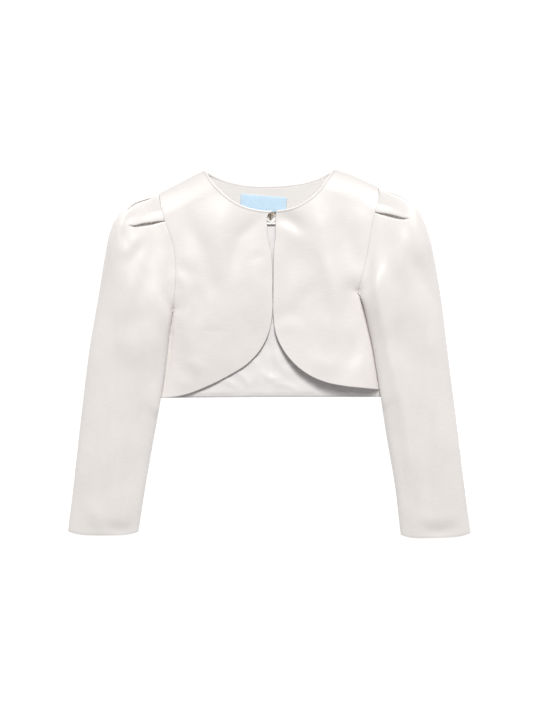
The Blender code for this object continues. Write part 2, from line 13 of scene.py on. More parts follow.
import bmesh
import bpy
import numpy as np
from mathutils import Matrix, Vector


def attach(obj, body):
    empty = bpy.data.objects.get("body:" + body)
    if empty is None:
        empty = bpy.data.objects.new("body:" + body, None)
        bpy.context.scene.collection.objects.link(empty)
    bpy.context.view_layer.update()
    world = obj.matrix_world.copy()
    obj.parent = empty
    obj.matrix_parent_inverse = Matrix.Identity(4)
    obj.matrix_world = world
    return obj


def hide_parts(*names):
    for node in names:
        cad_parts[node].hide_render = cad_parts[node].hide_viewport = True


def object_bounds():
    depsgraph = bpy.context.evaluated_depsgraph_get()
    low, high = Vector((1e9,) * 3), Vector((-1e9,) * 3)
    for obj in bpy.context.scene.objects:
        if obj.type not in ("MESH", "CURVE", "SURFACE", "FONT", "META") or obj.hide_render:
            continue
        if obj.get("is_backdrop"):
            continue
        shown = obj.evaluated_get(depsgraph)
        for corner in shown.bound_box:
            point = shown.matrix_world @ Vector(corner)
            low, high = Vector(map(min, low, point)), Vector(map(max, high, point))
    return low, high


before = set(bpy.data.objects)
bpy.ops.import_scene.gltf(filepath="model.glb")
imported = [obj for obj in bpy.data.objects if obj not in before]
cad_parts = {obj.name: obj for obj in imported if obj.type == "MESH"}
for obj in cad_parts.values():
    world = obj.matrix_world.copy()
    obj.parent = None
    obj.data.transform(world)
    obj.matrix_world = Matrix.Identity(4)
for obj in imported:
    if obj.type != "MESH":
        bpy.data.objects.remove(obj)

LOG = logging.getLogger("bolero")
MM = 0.001
PLATE_UNIT = 100.0  # millimetres in the unit that a thin plate's places are reckoned in
ARMHOLE_SHARE = 14 / 24  # of a panel's side, from its shoulder down to the end of its armhole
Curve = Callable[[np.ndarray], np.ndarray]
Field = Callable[[np.ndarray], np.ndarray]
Plan = Callable[[np.ndarray, np.ndarray], np.ndarray]
Spots = Sequence[tuple[float, ...]]
Materials = Sequence[bpy.types.Material]


def smooth_path(spots: Sequence[Sequence[float]]) -> Curve:
    """Draw a smooth curve through places.

    Args:
        spots: the places that it passes, two or more, of any number of columns.

    Returns:
        A function from shares of the curve's length to its places.
    """
    points = np.array(spots, float)
    lengths = np.linalg.norm(np.diff(points[:, :2], axis=0), axis=1)
    knots = np.concatenate([[0.0], np.cumsum(lengths)])
    knots /= knots[-1]
    if len(points) == 2:
        slopes = np.repeat(np.diff(points, axis=0), 2, axis=0)
    else:
        slopes = np.gradient(points, knots, axis=0)
    return lambda shares: between(points, slopes, knots, shares)


def between(points: np.ndarray, slopes: np.ndarray, knots: np.ndarray, shares: np.ndarray) -> np.ndarray:
    """Interpolate rows of values with cubic steps.

    Args:
        points: the rows.
        slopes: how fast each row's values change there.
        knots: the share at which each row stands.
        shares: the shares that are asked for.

    Returns:
        One row of values for each share.
    """
    shares = np.atleast_1d(np.asarray(shares, float))
    cell = np.clip(np.searchsorted(knots, shares) - 1, 0, len(knots) - 2)
    span = (knots[cell + 1] - knots[cell])[:, None]
    t = (shares - knots[cell])[:, None] / span
    return (points[cell] * (2 * t**3 - 3 * t**2 + 1) + points[cell + 1] * (3 * t**2 - 2 * t**3)
            + slopes[cell] * span * (t**3 - 2 * t**2 + t) + slopes[cell + 1] * span * (t**3 - t**2))


def sampled(curve: Curve, count: int) -> np.ndarray:
    """Return places spaced evenly along a curve."""
    return curve(np.linspace(0, 1, count))


def joined(first: Curve, second: Curve, share: float) -> Curve:
    """Run along one curve up to the share, and along the next one after it.

    Args:
        first: the curve that comes first.
        second: the curve that follows it.
        share: where one hands over to the other.

    Returns:
        The curve made of both.
    """

    def run(t: np.ndarray) -> np.ndarray:
        """Follow both curves as one.

        Args:
            t: shares of both together.

        Returns:
            The places there.
        """
        t = np.atleast_1d(np.asarray(t, float))
        early = first(np.clip(t / share, 0, 1))
        late = second(np.clip((t - share) / (1 - share), 0, 1))
        return np.where((t <= share)[:, None], early, late)

    return run


def patch(top: Curve, bottom: Curve, left: Curve, right: Curve) -> Plan:
    """Fill a panel between its four edges.

    Args:
        top: the edge at v = 0, from left to right.
        bottom: the edge at v = 1, from left to right.
        left: the edge at u = 0, downwards.
        right: the edge at u = 1, downwards.

    Returns:
        A function from shares across and down to places in the plan.
    """

    def place(u: np.ndarray, v: np.ndarray) -> np.ndarray:
        """Place points of the panel.

        Args:
            u: shares across it.
            v: shares down it.

        Returns:
            Their places on the plan.
        """
        a, b = u[:, None], v[:, None]
        corners = ((1 - a) * (1 - b) * top(0.0) + a * (1 - b) * top(1.0)
                   + (1 - a) * b * bottom(0.0) + a * b * bottom(1.0))
        return (1 - b) * top(u) + b * bottom(u) + (1 - a) * left(v) + a * right(v) - corners

    return place


def thin_plate(spots: Spots) -> Field:
    """Bend the smoothest surface through stated heights.

    Args:
        spots: rows of x, y and height.

    Returns:
        The height as a function of places in the plan.
    """
    rows = np.array(spots, float)
    places, values = rows[:, :2] / PLATE_UNIT, rows[:, 2]

    def bend(distance: np.ndarray) -> np.ndarray:
        """Return the plate's bending at a distance."""
        return distance**2 * np.log(np.maximum(distance, 1e-9))

    count = len(rows)
    spread = bend(np.linalg.norm(places[:, None] - places[None], axis=2))
    plane = np.column_stack([np.ones(count), places])
    system = np.block([[spread, plane], [plane.T, np.zeros((3, 3))]])
    weights = np.linalg.solve(system, np.concatenate([values, np.zeros(3)]))

    def height(xy: np.ndarray) -> np.ndarray:
        """Read the bent surface.

        Args:
            xy: places on the plan.

        Returns:
            The height at each place.
        """
        here = xy / PLATE_UNIT
        reach = bend(np.linalg.norm(here[:, None] - places[None], axis=2))
        return reach @ weights[:count] + weights[count] + here @ weights[count + 1:]

    return height


def smooth_step(value: np.ndarray) -> np.ndarray:
    """Ease from 0 to 1 as the value does."""
    value = np.clip(value, 0.0, 1.0)
    return value * value * (3 - 2 * value)


def round_up(distance: np.ndarray, reach: float) -> np.ndarray:
    """Rise from 0 to 1 over the reach, as the quarter of an ellipse does."""
    share = np.clip(distance / reach, 0.0, 1.0)
    return np.sqrt(1 - (1 - share) ** 2)


def distance_to(line: np.ndarray, xy: np.ndarray) -> np.ndarray:
    """Measure how far places lie from a line of straight steps.

    Args:
        line: the line's places.
        xy: the places to measure from.

    Returns:
        The distance of each place.
    """
    start, step = line[:-1], np.diff(line, axis=0)
    offset = xy[:, None] - start[None]
    share = np.sum(offset * step, axis=2) / np.maximum(np.sum(step * step, axis=1), 1e-9)
    nearest = offset - np.clip(share, 0, 1)[..., None] * step
    return np.sqrt(np.min(np.sum(nearest * nearest, axis=2), axis=1))


def clustered(length: float, step: float, fine: Sequence[float]) -> np.ndarray:
    """Space lines over a length, close together at both ends.

    Args:
        length: the length in millimetres.
        step: the spacing in the middle.
        fine: distances from an end at which extra lines stand.

    Returns:
        Their places as shares of the length.
    """
    inside = np.linspace(fine[-1], length - fine[-1], max(round((length - 2 * fine[-1]) / step), 1) + 1)
    places = np.concatenate([fine[:-1], inside, length - np.array(fine[-2::-1])])
    return places / length


@dataclass(frozen=True)
class Crease:
    """A soft ridge, or a trough where its rise is below zero, along a bowed line."""

    start: tuple[float, float]
    middle: tuple[float, float]
    end: tuple[float, float]
    width: float
    rise: float
    points: int = 61
    fade: float = 0.7

    def at(self, xy: np.ndarray) -> np.ndarray:
        """Work out the height that it adds.

        Args:
            xy: places on the plan.

        Returns:
            The height at each place.
        """
        shares = np.linspace(0, 1, self.points)
        line = smooth_path([self.start, self.middle, self.end])(shares)
        strength = np.sin(math.pi * shares) ** self.fade
        offset = xy[:, None] - line[None]
        near = np.exp(-np.sum(offset * offset, axis=2) / self.width**2)
        return self.rise * np.max(strength * near, axis=1)


@dataclass(frozen=True)
class Wave:
    """A long, low wave across laid cloth, which sways as it runs."""

    turn: float
    length: float
    phase: float
    height: float
    sway: float = 0.9
    sway_length: float = 21.0

    def at(self, xy: np.ndarray) -> np.ndarray:
        """Work out the height that it adds.

        Args:
            xy: places on the plan.

        Returns:
            The height at each place.
        """
        across = xy[:, 0] * math.cos(self.turn) + xy[:, 1] * math.sin(self.turn)
        sideways = xy[:, 1] * math.cos(self.turn) - xy[:, 0] * math.sin(self.turn)
        sway = self.sway * np.sin(sideways / self.sway_length + self.phase)
        return self.height * np.sin(across * 2 * math.pi / self.length + self.phase + sway)


UNEVEN = (
    Wave(0.3, 78.0, 0.4, 0.26),
    Wave(1.9, 58.0, 1.7, 0.16),
    Wave(2.6, 94.0, 4.1, 0.28),
    Wave(1.1, 33.0, 2.2, 0.045),
    Wave(2.2, 24.0, 3.0, 0.025),
)


def raised(forms: Sequence[Crease | Wave], xy: np.ndarray) -> np.ndarray:
    """Add up creases or waves.

    Args:
        forms: the creases or waves.
        xy: places on the plan.

    Returns:
        The height that they add at each place.
    """
    total = np.zeros(len(xy))
    for form in forms:
        total += form.at(xy)
    return total


@dataclass(frozen=True)
class Cloth:
    """Walls, gaps and turned edges, in millimetres."""

    back: float = 1.2
    lining: float = 1.0
    front: float = 1.8
    sleeve: float = 1.3
    gap: float = 0.3
    armhole_gap: float = 0.06
    soft_edge: float = 24.0
    shoulder_run: float = 28.0
    rim_radius: float = 0.88
    seam_radius: float = 0.3
    bead: float = 0.5
    bead_place: float = 1.35
    bead_width: float = 1.25
    bead_groove: float = 0.12
    groove_place: float = 3.3
    groove_width: float = 0.7
    seam_dip: float = 0.3
    seam_reach: float = 2.0
    neck_roll: float = 2.6
    neck_roll_width: float = 3.4

    @property
    def inside_floor(self) -> float:
        """The height of the lining's underside."""
        return self.back + self.gap

    @property
    def inside_top(self) -> float:
        """The height of the lining's upper side."""
        return self.inside_floor + self.lining

    @property
    def seam_top(self) -> float:
        """The height of a front where it lies on the back at a seam."""
        return self.inside_top + self.gap + self.front


CLOTH = Cloth()


@dataclass(frozen=True)
class Station:
    """A section across a sleeve."""

    outer: float  # share of the outer edge
    inner: float  # share of the inner edge
    crown: float  # height of its top
    pleat: float  # where the pleat crosses, from the inner edge at 0 to the outer one at 1


STATIONS = (
    Station(0.000, 0.000, 9.0, 0.760),
    Station(0.045, 0.011, 15.0, 0.770),
    Station(0.086, 0.026, 19.0, 0.802),
    Station(0.122, 0.041, 22.0, 0.860),
    Station(0.153, 0.059, 23.5, 0.870),
    Station(0.190, 0.082, 24.0, 0.865),
    Station(0.244, 0.120, 23.5, 0.850),
    Station(0.300, 0.180, 22.0, 0.830),
    Station(0.372, 0.262, 20.0, 0.810),
    Station(0.450, 0.363, 18.5, 0.790),
    Station(0.540, 0.475, 17.5, 0.780),
    Station(0.643, 0.590, 16.0, 0.770),
    Station(0.745, 0.710, 15.0, 0.760),
    Station(0.847, 0.830, 14.0, 0.760),
    Station(0.937, 0.930, 13.0, 0.760),
    Station(1.000, 1.000, 12.0, 0.760),
)


@dataclass(frozen=True)
class Half:
    """One side of the jacket: its outlines, its heights and its folds."""

    name: str
    sign: int  # -1 for the side at the photo's left, 1 for the other
    shoulder: Spots
    armhole: Spots
    seam: Spots
    neck: Spots
    edge: Spots
    corner: float  # the share of the front's edge where its bottom begins
    outer: Spots
    inner: Spots
    heights: Spots
    creases: Sequence[Crease]
    folds: Sequence[Crease]
    edge_pleat: float  # how deep the small pleat by the outer edge is
    pleat_end: float  # the share of the outer edge where the head's pleat has opened out
    press: float  # how far the sleeve presses its front down beside itself


LEFT = Half(
    name="left",
    sign=-1,
    shoulder=((-133.0, 191.6), (-107.4, 204.8), (-93.0, 212.6), (-77.0, 220.4)),
    armhole=((-133.0, 191.6), (-131.4, 183.6), (-126.5, 162.0), (-118.2, 138.6), (-113.2, 118.0),
             (-112.2, 95.0), (-113.4, 72.6), (-115.8, 52.2)),
    seam=((-115.8, 52.2), (-122.4, 38.0), (-126.6, 16.0), (-131.0, -14.0), (-136.5, -53.4)),
    neck=((-77.0, 220.4), (-69.0, 207.0), (-58.2, 195.0), (-43.2, 183.0), (-28.2, 175.9), (-13.8, 172.4),
          (-3.0, 171.2), (4.4, 171.3)),
    edge=((4.4, 171.3), (2.6, 168.9), (-1.4, 166.8), (-2.7, 162.0), (-2.6, 150.0), (-2.0, 137.0),
          (1.6, 123.0), (3.3, 105.0), (3.6, 75.0), (3.2, 45.0), (-1.8, 22.2), (-13.8, 0.6), (-28.2, -13.8),
          (-47.4, -25.8), (-76.2, -40.2), (-97.0, -48.2), (-117.0, -52.4), (-136.5, -53.4)),
    corner=0.53,
    outer=((-133.0, 191.6), (-139.4, 190.8), (-150.6, 188.0), (-162.6, 183.6), (-171.0, 177.2),
           (-178.2, 169.8), (-185.4, 159.6), (-190.2, 148.2), (-193.8, 135.0), (-198.0, 112.2),
           (-205.8, 64.2), (-214.2, 16.2), (-226.2, -79.8), (-237.0, -175.8), (-241.6, -212.6)),
    inner=((-115.8, 52.2), (-118.2, 36.6), (-120.6, 16.2), (-123.2, -7.8), (-130.2, -55.8), (-139.0, -103.8),
           (-147.4, -151.8), (-157.0, -213.0)),
    heights=(
        (-77.0, 220.0, 6.6), (-104.0, 207.0, 6.9), (-131.0, 193.0, 8.6), (-58.0, 195.0, 7.2),
        (-28.0, 175.0, 8.2), (-3.0, 169.0, 7.6), (-113.0, 120.0, 12.0), (-112.0, 88.0, 13.0),
        (-116.0, 52.0, 13.5), (-122.0, 0.0, 10.0), (-130.0, -50.0, 7.5), (-95.0, -47.0, 6.5),
        (-76.0, -40.0, 6.3), (-47.0, -26.0, 6.3), (-28.0, -14.0, 6.8), (-14.0, 0.0, 7.0),
        (-2.0, 22.0, 7.4), (4.0, 45.0, 7.8), (4.0, 100.0, 8.2), (-2.0, 145.0, 7.8), (-55.0, 155.0, 11.0),
        (-60.0, 90.0, 12.5), (-60.0, 30.0, 10.5), (-90.0, 60.0, 13.0), (-92.0, 5.0, 10.5),
    ),
    creases=(
        Crease((-67, 178), (-60, 136), (-64, 84), 14, 1.68),
        Crease((-46, 196), (-50, 180), (-56, 160), 12, 1.12),
        Crease((-100, 168), (-92, 146), (-82, 124), 11, -1.82),
        Crease((-80, 122), (-74, 98), (-72, 70), 13, -2.1),
        Crease((-24, 162), (-36, 132), (-46, 92), 13, -2.52),
        Crease((-8, 165), (-20, 153), (-38, 138), 7, -1.0),
        Crease((-8, 114), (-14, 116), (-22, 110), 6, -0.5),
        Crease((-18, 104), (-16, 78), (-24, 50), 13, 1.68),
        Crease((-106, 118), (-100, 116), (-94, 114), 7, 0.3),
        Crease((-110, 103), (-98, 99), (-82, 90), 8, -0.6),
        Crease((-109, 95), (-100, 78), (-99, 58), 6.5, 1.2),
        Crease((-99, 62), (-102, 30), (-92, 2), 8, 1.2),
        Crease((-90, 82), (-84, 60), (-88, 34), 9, -1.54),
        Crease((-98, -4), (-90, -13), (-80, -18), 9, 1.26),
        Crease((-114, -26), (-107, -34), (-94, -38), 8, 0.8),
        Crease((-82, 26), (-68, 27), (-52, 26), 3.5, -0.25),
    ),
    folds=(
        Crease((-159, 172), (-172, 166), (-178, 152), 5.5, 1.1),
        Crease((-177, 156), (-180, 142), (-177, 128), 5, 1.2),
        Crease((-158, 170), (-166, 164), (-173, 156), 6, -1.0),
        Crease((-174, 152), (-174, 138), (-170, 126), 6.5, -0.9),
        Crease((-144, 150), (-157, 137), (-171, 120), 7, 1.0),
        Crease((-184, 133), (-179, 124), (-170, 119), 7, 0.6),
        Crease((-147, 134), (-159, 121), (-170, 104), 9, -1.3),
        Crease((-138, 150), (-137, 132), (-142, 108), 7, -1.0),
        Crease((-127, 154), (-124, 130), (-125, 96), 4.5, 0.9),
        Crease((-164, 92), (-170, 62), (-181, 36), 14, 2.34),
        Crease((-146, 104), (-149, 84), (-156, 62), 10, -1.3),
        Crease((-138, 40), (-142, 0), (-150, -40), 9, 0.91),
        Crease((-182, 24), (-164, 14), (-146, 18), 24, 2.86),
        Crease((-176, -10), (-190, -90), (-204, -170), 18, 1.3),
        Crease((-214, -176), (-207, -194), (-196, -208), 11, 1.43),
        Crease((-196, -206), (-180, -211), (-162, -209), 8, -1.56),
    ),
    edge_pleat=1.0,
    pleat_end=0.114,
    press=3.0,
)

RIGHT = Half(
    name="right",
    sign=1,
    shoulder=((131.0, 198.8), (117.0, 205.8), (100.2, 213.4), (77.0, 221.8)),
    armhole=((131.0, 198.8), (131.2, 189.0), (126.6, 169.0), (121.6, 147.0), (117.2, 121.0), (113.4, 102.6),
             (108.6, 85.8), (106.2, 73.8)),
    seam=((106.2, 73.8), (115.6, 60.0), (122.0, 36.0), (129.4, 0.0), (139.0, -44.0)),
    neck=((77.0, 221.8), (69.0, 210.6), (58.2, 195.5), (43.2, 183.0), (24.6, 174.0), (7.9, 171.4)),
    edge=((7.9, 171.4), (7.2, 155.0), (6.6, 137.0), (5.2, 123.0), (4.6, 105.0), (4.5, 75.0), (4.6, 45.0),
          (7.4, 24.0), (15.0, 6.6), (28.8, -11.4), (47.4, -25.8), (66.6, -34.2), (85.8, -38.4),
          (110.0, -41.2), (139.0, -44.0)),
    corner=0.54,
    outer=((131.0, 198.8), (138.0, 197.4), (150.6, 194.4), (160.0, 190.0), (168.6, 184.2), (176.0, 176.0),
           (182.4, 164.5), (188.0, 151.0), (192.6, 136.2), (197.8, 112.2), (205.8, 64.2), (211.8, 16.2),
           (223.8, -79.8), (235.8, -175.8), (241.2, -214.6)),
    inner=((106.2, 73.8), (111.5, 60.0), (117.0, 37.8), (121.8, 16.2), (131.4, -41.4), (141.0, -103.8),
           (149.4, -151.8), (157.2, -217.0)),
    heights=(
        (77.0, 221.0, 6.6), (104.0, 211.0, 6.9), (131.0, 198.0, 8.6), (58.0, 195.0, 7.4), (25.0, 173.0, 8.2),
        (7.0, 169.0, 7.6), (117.0, 120.0, 12.5), (111.0, 95.0, 13.0), (106.0, 74.0, 13.5),
        (118.0, 20.0, 12.0), (131.0, -42.0, 13.5), (105.0, -41.0, 16.6), (86.0, -38.0, 17.4),
        (66.0, -34.0, 16.6), (47.0, -26.0, 14.8), (29.0, -11.0, 12.2), (15.0, 7.0, 9.8), (4.5, 45.0, 8.0),
        (4.5, 100.0, 8.2), (7.0, 145.0, 7.8), (57.0, 155.0, 11.0), (62.0, 90.0, 12.5), (66.0, 30.0, 14.2),
        (92.0, 60.0, 13.0), (94.0, 5.0, 14.4),
    ),
    creases=(
        Crease((50, 190), (60, 160), (66, 128), 15, 1.4),
        Crease((60, 136), (72, 96), (84, 44), 12, 2.66),
        Crease((10, 164), (26, 160), (44, 146), 10, -1.82),
        Crease((28, 148), (32, 118), (28, 86), 13, -1.68),
        Crease((84, 156), (94, 132), (104, 104), 14, -1.96),
        Crease((102, 190), (112, 180), (120, 168), 12, -0.84),
        Crease((13, 164), (24, 158), (38, 146), 7, -0.9),
        Crease((54, 82), (48, 72), (40, 62), 9, -0.84),
        Crease((34, 54), (22, 46), (10, 42), 10, -0.84),
        Crease((16, 32), (28, 34), (42, 28), 10, 0.7),
        Crease((104, 20), (102, 4), (98, -12), 9, -1.12),
        Crease((112, 10), (113, -6), (110, -22), 9, 1.12),
        Crease((46, -6), (64, -12), (84, -16), 11, 0.98),
        Crease((94, 96), (96, 70), (98, 42), 10, -1.12),
    ),
    folds=(
        Crease((121, 168), (130, 66), (150, -28), 8, 2.99),
        Crease((140, 6), (156, -52), (176, -176), 9, 2.73),
        Crease((160, 156), (168, 140), (172, 118), 7, -0.7),
        Crease((166, 122), (184, 88), (201, 58), 11, -2.34),
        Crease((142, 150), (141, 118), (146, 80), 10, -1.04),
        Crease((178, 152), (184, 130), (188, 106), 10, 0.78),
        Crease((186, 54), (192, 24), (196, -8), 12, 1.17),
        Crease((152, 42), (160, 8), (172, -28), 12, -1.17),
        Crease((196, -24), (204, -90), (214, -150), 17, 1.17),
        Crease((184, -210), (202, -214), (222, -208), 7, -1.2),
        Crease((178, -196), (200, -199), (222, -194), 8, 0.78),
    ),
    edge_pleat=0.25,
    pleat_end=0.110,
    press=0.4,
)


class Slot(Enum):
    """Names of kinds of material; nothing in the script uses them."""

    SATIN = "satin"
    LINING = "lining"
    LABEL = "label"
    METAL = "metal"


class Socket:
    """A value in a node tree that Python's operators work on."""

    def __init__(self, tree: bpy.types.NodeTree, source: "bpy.types.NodeSocket | float") -> None:
        """Wrap an output socket, or a plain number."""
        self.tree = tree
        self.source = source

    def join(self, operation: str, *others: "Socket | float") -> "Socket":
        """Add a Math node.

        Args:
            operation: what the node does.
            others: the values that follow this one.

        Returns:
            The node's result.
        """
        values = [self.source] + [other.source if isinstance(other, Socket) else other for other in others]
        return node(self.tree, "ShaderNodeMath", {"operation": operation}, dict(enumerate(values)))

    def __add__(self, other: "Socket | float") -> "Socket":
        """Add."""
        return self.join("ADD", other)

    def __sub__(self, other: "Socket | float") -> "Socket":
        """Subtract."""
        return self.join("SUBTRACT", other)

    def __rsub__(self, other: float) -> "Socket":
        """Subtract this value from a number."""
        return Socket(self.tree, other).join("SUBTRACT", self)

    def __mul__(self, other: "Socket | float") -> "Socket":
        """Multiply."""
        return self.join("MULTIPLY", other)

    __radd__ = __add__
    __rmul__ = __mul__


def feed(tree: bpy.types.NodeTree, made: bpy.types.Node, inputs: dict) -> None:
    """Set or link a node's sockets.

    Args:
        tree: the node's tree.
        made: the node.
        inputs: values or links for its sockets, by name or place.
    """
    for name, value in inputs.items():
        if isinstance(value, Socket):
            value = value.source
        if isinstance(value, bpy.types.NodeSocket):
            tree.links.new(value, made.inputs[name])
        else:
            made.inputs[name].default_value = value


def node(tree: bpy.types.NodeTree, kind: str, settings: dict, inputs: dict,
         output: int | str = 0) -> Socket:
    """Add a node to a tree.

    Args:
        tree: the tree.
        kind: the node's type.
        settings: its settings, set before its sockets.
        inputs: values or links for its sockets, by name or place.
        output: the socket to return.

    Returns:
        One of its outputs.
    """
    made = tree.nodes.new(kind)
    for name, value in settings.items():
        setattr(made, name, value)
    feed(tree, made, inputs)
    return Socket(tree, made.outputs[output])


def start_material(name: str) -> tuple[bpy.types.Material, bpy.types.NodeTree, bpy.types.ShaderNode]:
    """Make a material.

    Args:
        name: its name.

    Returns:
        The material, its node tree and its shader.
    """
    material = bpy.data.materials.new(name)
    material.use_nodes = True
    return material, material.node_tree, material.node_tree.nodes["Principled BSDF"]


def tinted(tree: bpy.types.NodeTree, tone: Socket, colour: tuple[float, float, float]) -> Socket:
    """Return a colour made lighter and darker by a tone around 1."""
    red, green, blue = colour
    return node(tree, "ShaderNodeCombineColor", {}, {0: tone * red, 1: tone * green, 2: tone * blue})


def noise(tree: bpy.types.NodeTree, place: Socket, scale: float, detail: float) -> Socket:
    """Return noise from 0 to 1."""
    return node(tree, "ShaderNodeTexNoise", {}, {"Vector": place, "Scale": scale, "Detail": detail}, "Fac")


def bumps(tree: bpy.types.NodeTree, height: Socket, strength: float, depth: float) -> Socket:
    """Return the normal that a fine relief gives, its depth in metres."""
    return node(tree, "ShaderNodeBump", {}, {"Strength": strength, "Distance": depth, "Height": height})


@dataclass(frozen=True)
class Satin:
    """A satin cloth: fine yarns with a soft sheen, and faint slubs across."""

    name: str
    colour: tuple[float, float, float]
    roughness: float
    slub: float = 1.0
    sheen: float = 0.04
    gloss: float = 0.55

    def build(self) -> bpy.types.Material:
        """Build the material, on the piece's own cloth map in metres.

        Returns:
            The material.
        """
        material, tree, shader = start_material(self.name)
        cloth = node(tree, "ShaderNodeUVMap", {"uv_map": "cloth"}, {})

        def drawn(scale: tuple[float, float, float], detail: float) -> Socket:
            """Return noise drawn out along the weave."""
            place = node(tree, "ShaderNodeMapping", {}, {"Vector": cloth, "Scale": scale})
            return noise(tree, place, 1.0, detail)

        slubs = drawn((70.0, 1400.0, 1.0), 3.0)
        yarns = drawn((4200.0, 700.0, 1.0), 2.0)
        weft = drawn((900.0, 4600.0, 1.0), 2.0)
        broad = drawn((30.0, 22.0, 1.0), 4.0)
        tone = ((slubs - 0.5) * (0.16 * self.slub) + (yarns - 0.5) * 0.05 + (weft - 0.5) * 0.05
                + (broad - 0.5) * 0.09 + 1.0)
        relief = slubs * (0.45 * self.slub) + yarns * 0.35 + weft * 0.35
        feed(tree, shader, {
            "Normal": bumps(tree, relief, 0.35, 0.00016),
            "Base Color": tinted(tree, tone, self.colour),
            "Roughness": self.roughness + (slubs - 0.5) * 0.10 + (broad - 0.5) * 0.16,
            "Sheen Weight": self.sheen,
            "Sheen Roughness": 0.4,
            "Specular IOR Level": self.gloss,
        })
        return material


@dataclass(frozen=True)
class Woven:
    """A label's taffeta, with fine ribs and a denser selvedge."""

    name: str
    colour: tuple[float, float, float]

    def build(self) -> bpy.types.Material:
        """Build the material.

        Returns:
            The material.
        """
        material, tree, shader = start_material(self.name)
        cloth = node(tree, "ShaderNodeUVMap", {"uv_map": "cloth"}, {})
        ribs = node(tree, "ShaderNodeTexWave", {"bands_direction": "Y"},
                    {"Vector": cloth, "Scale": 420.0}, "Fac")
        grain = noise(tree, cloth, 900.0, 3.0)
        broad = noise(tree, cloth, 160.0, 2.0)
        tone = (ribs - 0.5) * 0.07 + (grain - 0.5) * 0.14 + (broad - 0.5) * 0.10 + 1.0
        feed(tree, shader, {
            "Normal": bumps(tree, ribs + grain * 0.4, 0.5, 0.0002),
            "Base Color": tinted(tree, tone, self.colour),
            "Roughness": 0.45 + grain * 0.2,
        })
        return material


@dataclass(frozen=True)
class Wire:
    """Aged brass-coloured wire with a worn, uneven polish."""

    name: str
    colour: tuple[float, float, float]

    def build(self) -> bpy.types.Material:
        """Build the material.

        Returns:
            The material.
        """
        material, tree, shader = start_material(self.name)
        wear = noise(tree, node(tree, "ShaderNodeTexCoord", {}, {}, "Object"), 900.0, 3.0)
        feed(tree, shader, {
            "Base Color": tinted(tree, (wear - 0.5) * 0.7 + 1.0, self.colour),
            "Roughness": 0.16 + wear * 0.3,
            "Metallic": 1.0,
        })
        return material


@dataclass(frozen=True)
class Thread:
    """Twisted sewing thread."""

    name: str
    colour: tuple[float, float, float]

    def build(self) -> bpy.types.Material:
        """Build the material.

        Returns:
            The material.
        """
        material, tree, shader = start_material(self.name)
        place = node(tree, "ShaderNodeTexCoord", {}, {}, "Object")
        twist = node(tree, "ShaderNodeTexWave", {"bands_direction": "DIAGONAL"},
                     {"Vector": place, "Scale": 900.0, "Distortion": 1.0}, "Fac")
        feed(tree, shader, {
            "Normal": bumps(tree, twist, 0.6, 0.0001),
            "Base Color": tinted(tree, (twist - 0.5) * 0.16 + 1.0, self.colour),
            "Roughness": 0.6,
        })
        return material


class Finishes:
    """The jacket's materials, each made once."""

    def __init__(self) -> None:
        """Build them."""
        self.satin = Satin("ivory satin", (0.79, 0.753, 0.727), 0.36).build()
        # The facing's colour is the ivory satin's, darkened as painted shade for the shade under the neck roll;
        # its higher roughness and lower gloss are its own.
        self.facing = Satin("facing satin darkened as painted shade", (0.755, 0.725, 0.70), 0.45, gloss=0.4).build()
        self.lining = Satin("lining satin", (0.80, 0.772, 0.762), 0.33, slub=0.3).build()
        self.label = Woven("pale blue label", (0.53, 0.70, 0.84)).build()
        self.metal = Wire("aged brass wire", (0.42, 0.31, 0.17)).build()
        self.thread = Thread("white thread", (0.86, 0.83, 0.82)).build()


def start_grid(columns: int, rows: int) -> tuple[bmesh.types.BMesh, np.ndarray]:
    """Start a sheet of cloth as a flat grid.

    Args:
        columns: how many lines of vertices run down.
        rows: how many run across.

    Returns:
        The bmesh, and for each of its vertices the number of its column and row.
    """
    bm = bmesh.new()
    bmesh.ops.create_grid(bm, x_segments=columns - 1, y_segments=rows - 1, size=0.5)
    spots = [(round((v.co.x + 0.5) * (columns - 1)), round((0.5 - v.co.y) * (rows - 1))) for v in bm.verts]
    return bm, np.array(spots)


def finish_piece(bm: bmesh.types.BMesh, name: str, materials: Materials, slot: Slot) -> bpy.types.Object:
    """Turn a bmesh in millimetres into a piece of the jacket.

    Args:
        bm: the bmesh, which is freed.
        name: the piece's name.
        materials: its materials, in the order of its faces' indices.
        slot: not used.

    Returns:
        The piece, riding on the jacket's one body.
    """
    bmesh.ops.scale(bm, vec=(MM, MM, MM), verts=bm.verts)
    bmesh.ops.recalc_face_normals(bm, faces=bm.faces)
    mesh = bpy.data.meshes.new(name)
    bm.to_mesh(mesh)
    bm.free()
    mesh.shade_smooth()
    for material in materials:
        mesh.materials.append(material)
    piece = bpy.data.objects.new(name, mesh)
    bpy.context.scene.collection.objects.link(piece)
    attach(piece, "root")
    LOG.info("%s: %d faces", name, len(mesh.polygons))
    return piece


def map_cloth(bm: bmesh.types.BMesh, places: dict[bmesh.types.BMVert, tuple[float, float]]) -> None:
    """Write the cloth map, in metres along the weave.

    Args:
        bm: the piece.
        places: where each of its vertices lies on the cut, in millimetres.
    """
    layer = bm.loops.layers.uv.new("cloth")
    for face in bm.faces:
        for corner in face.loops:
            x, y = places[corner.vert]
            corner[layer].uv = (x * MM, y * MM)


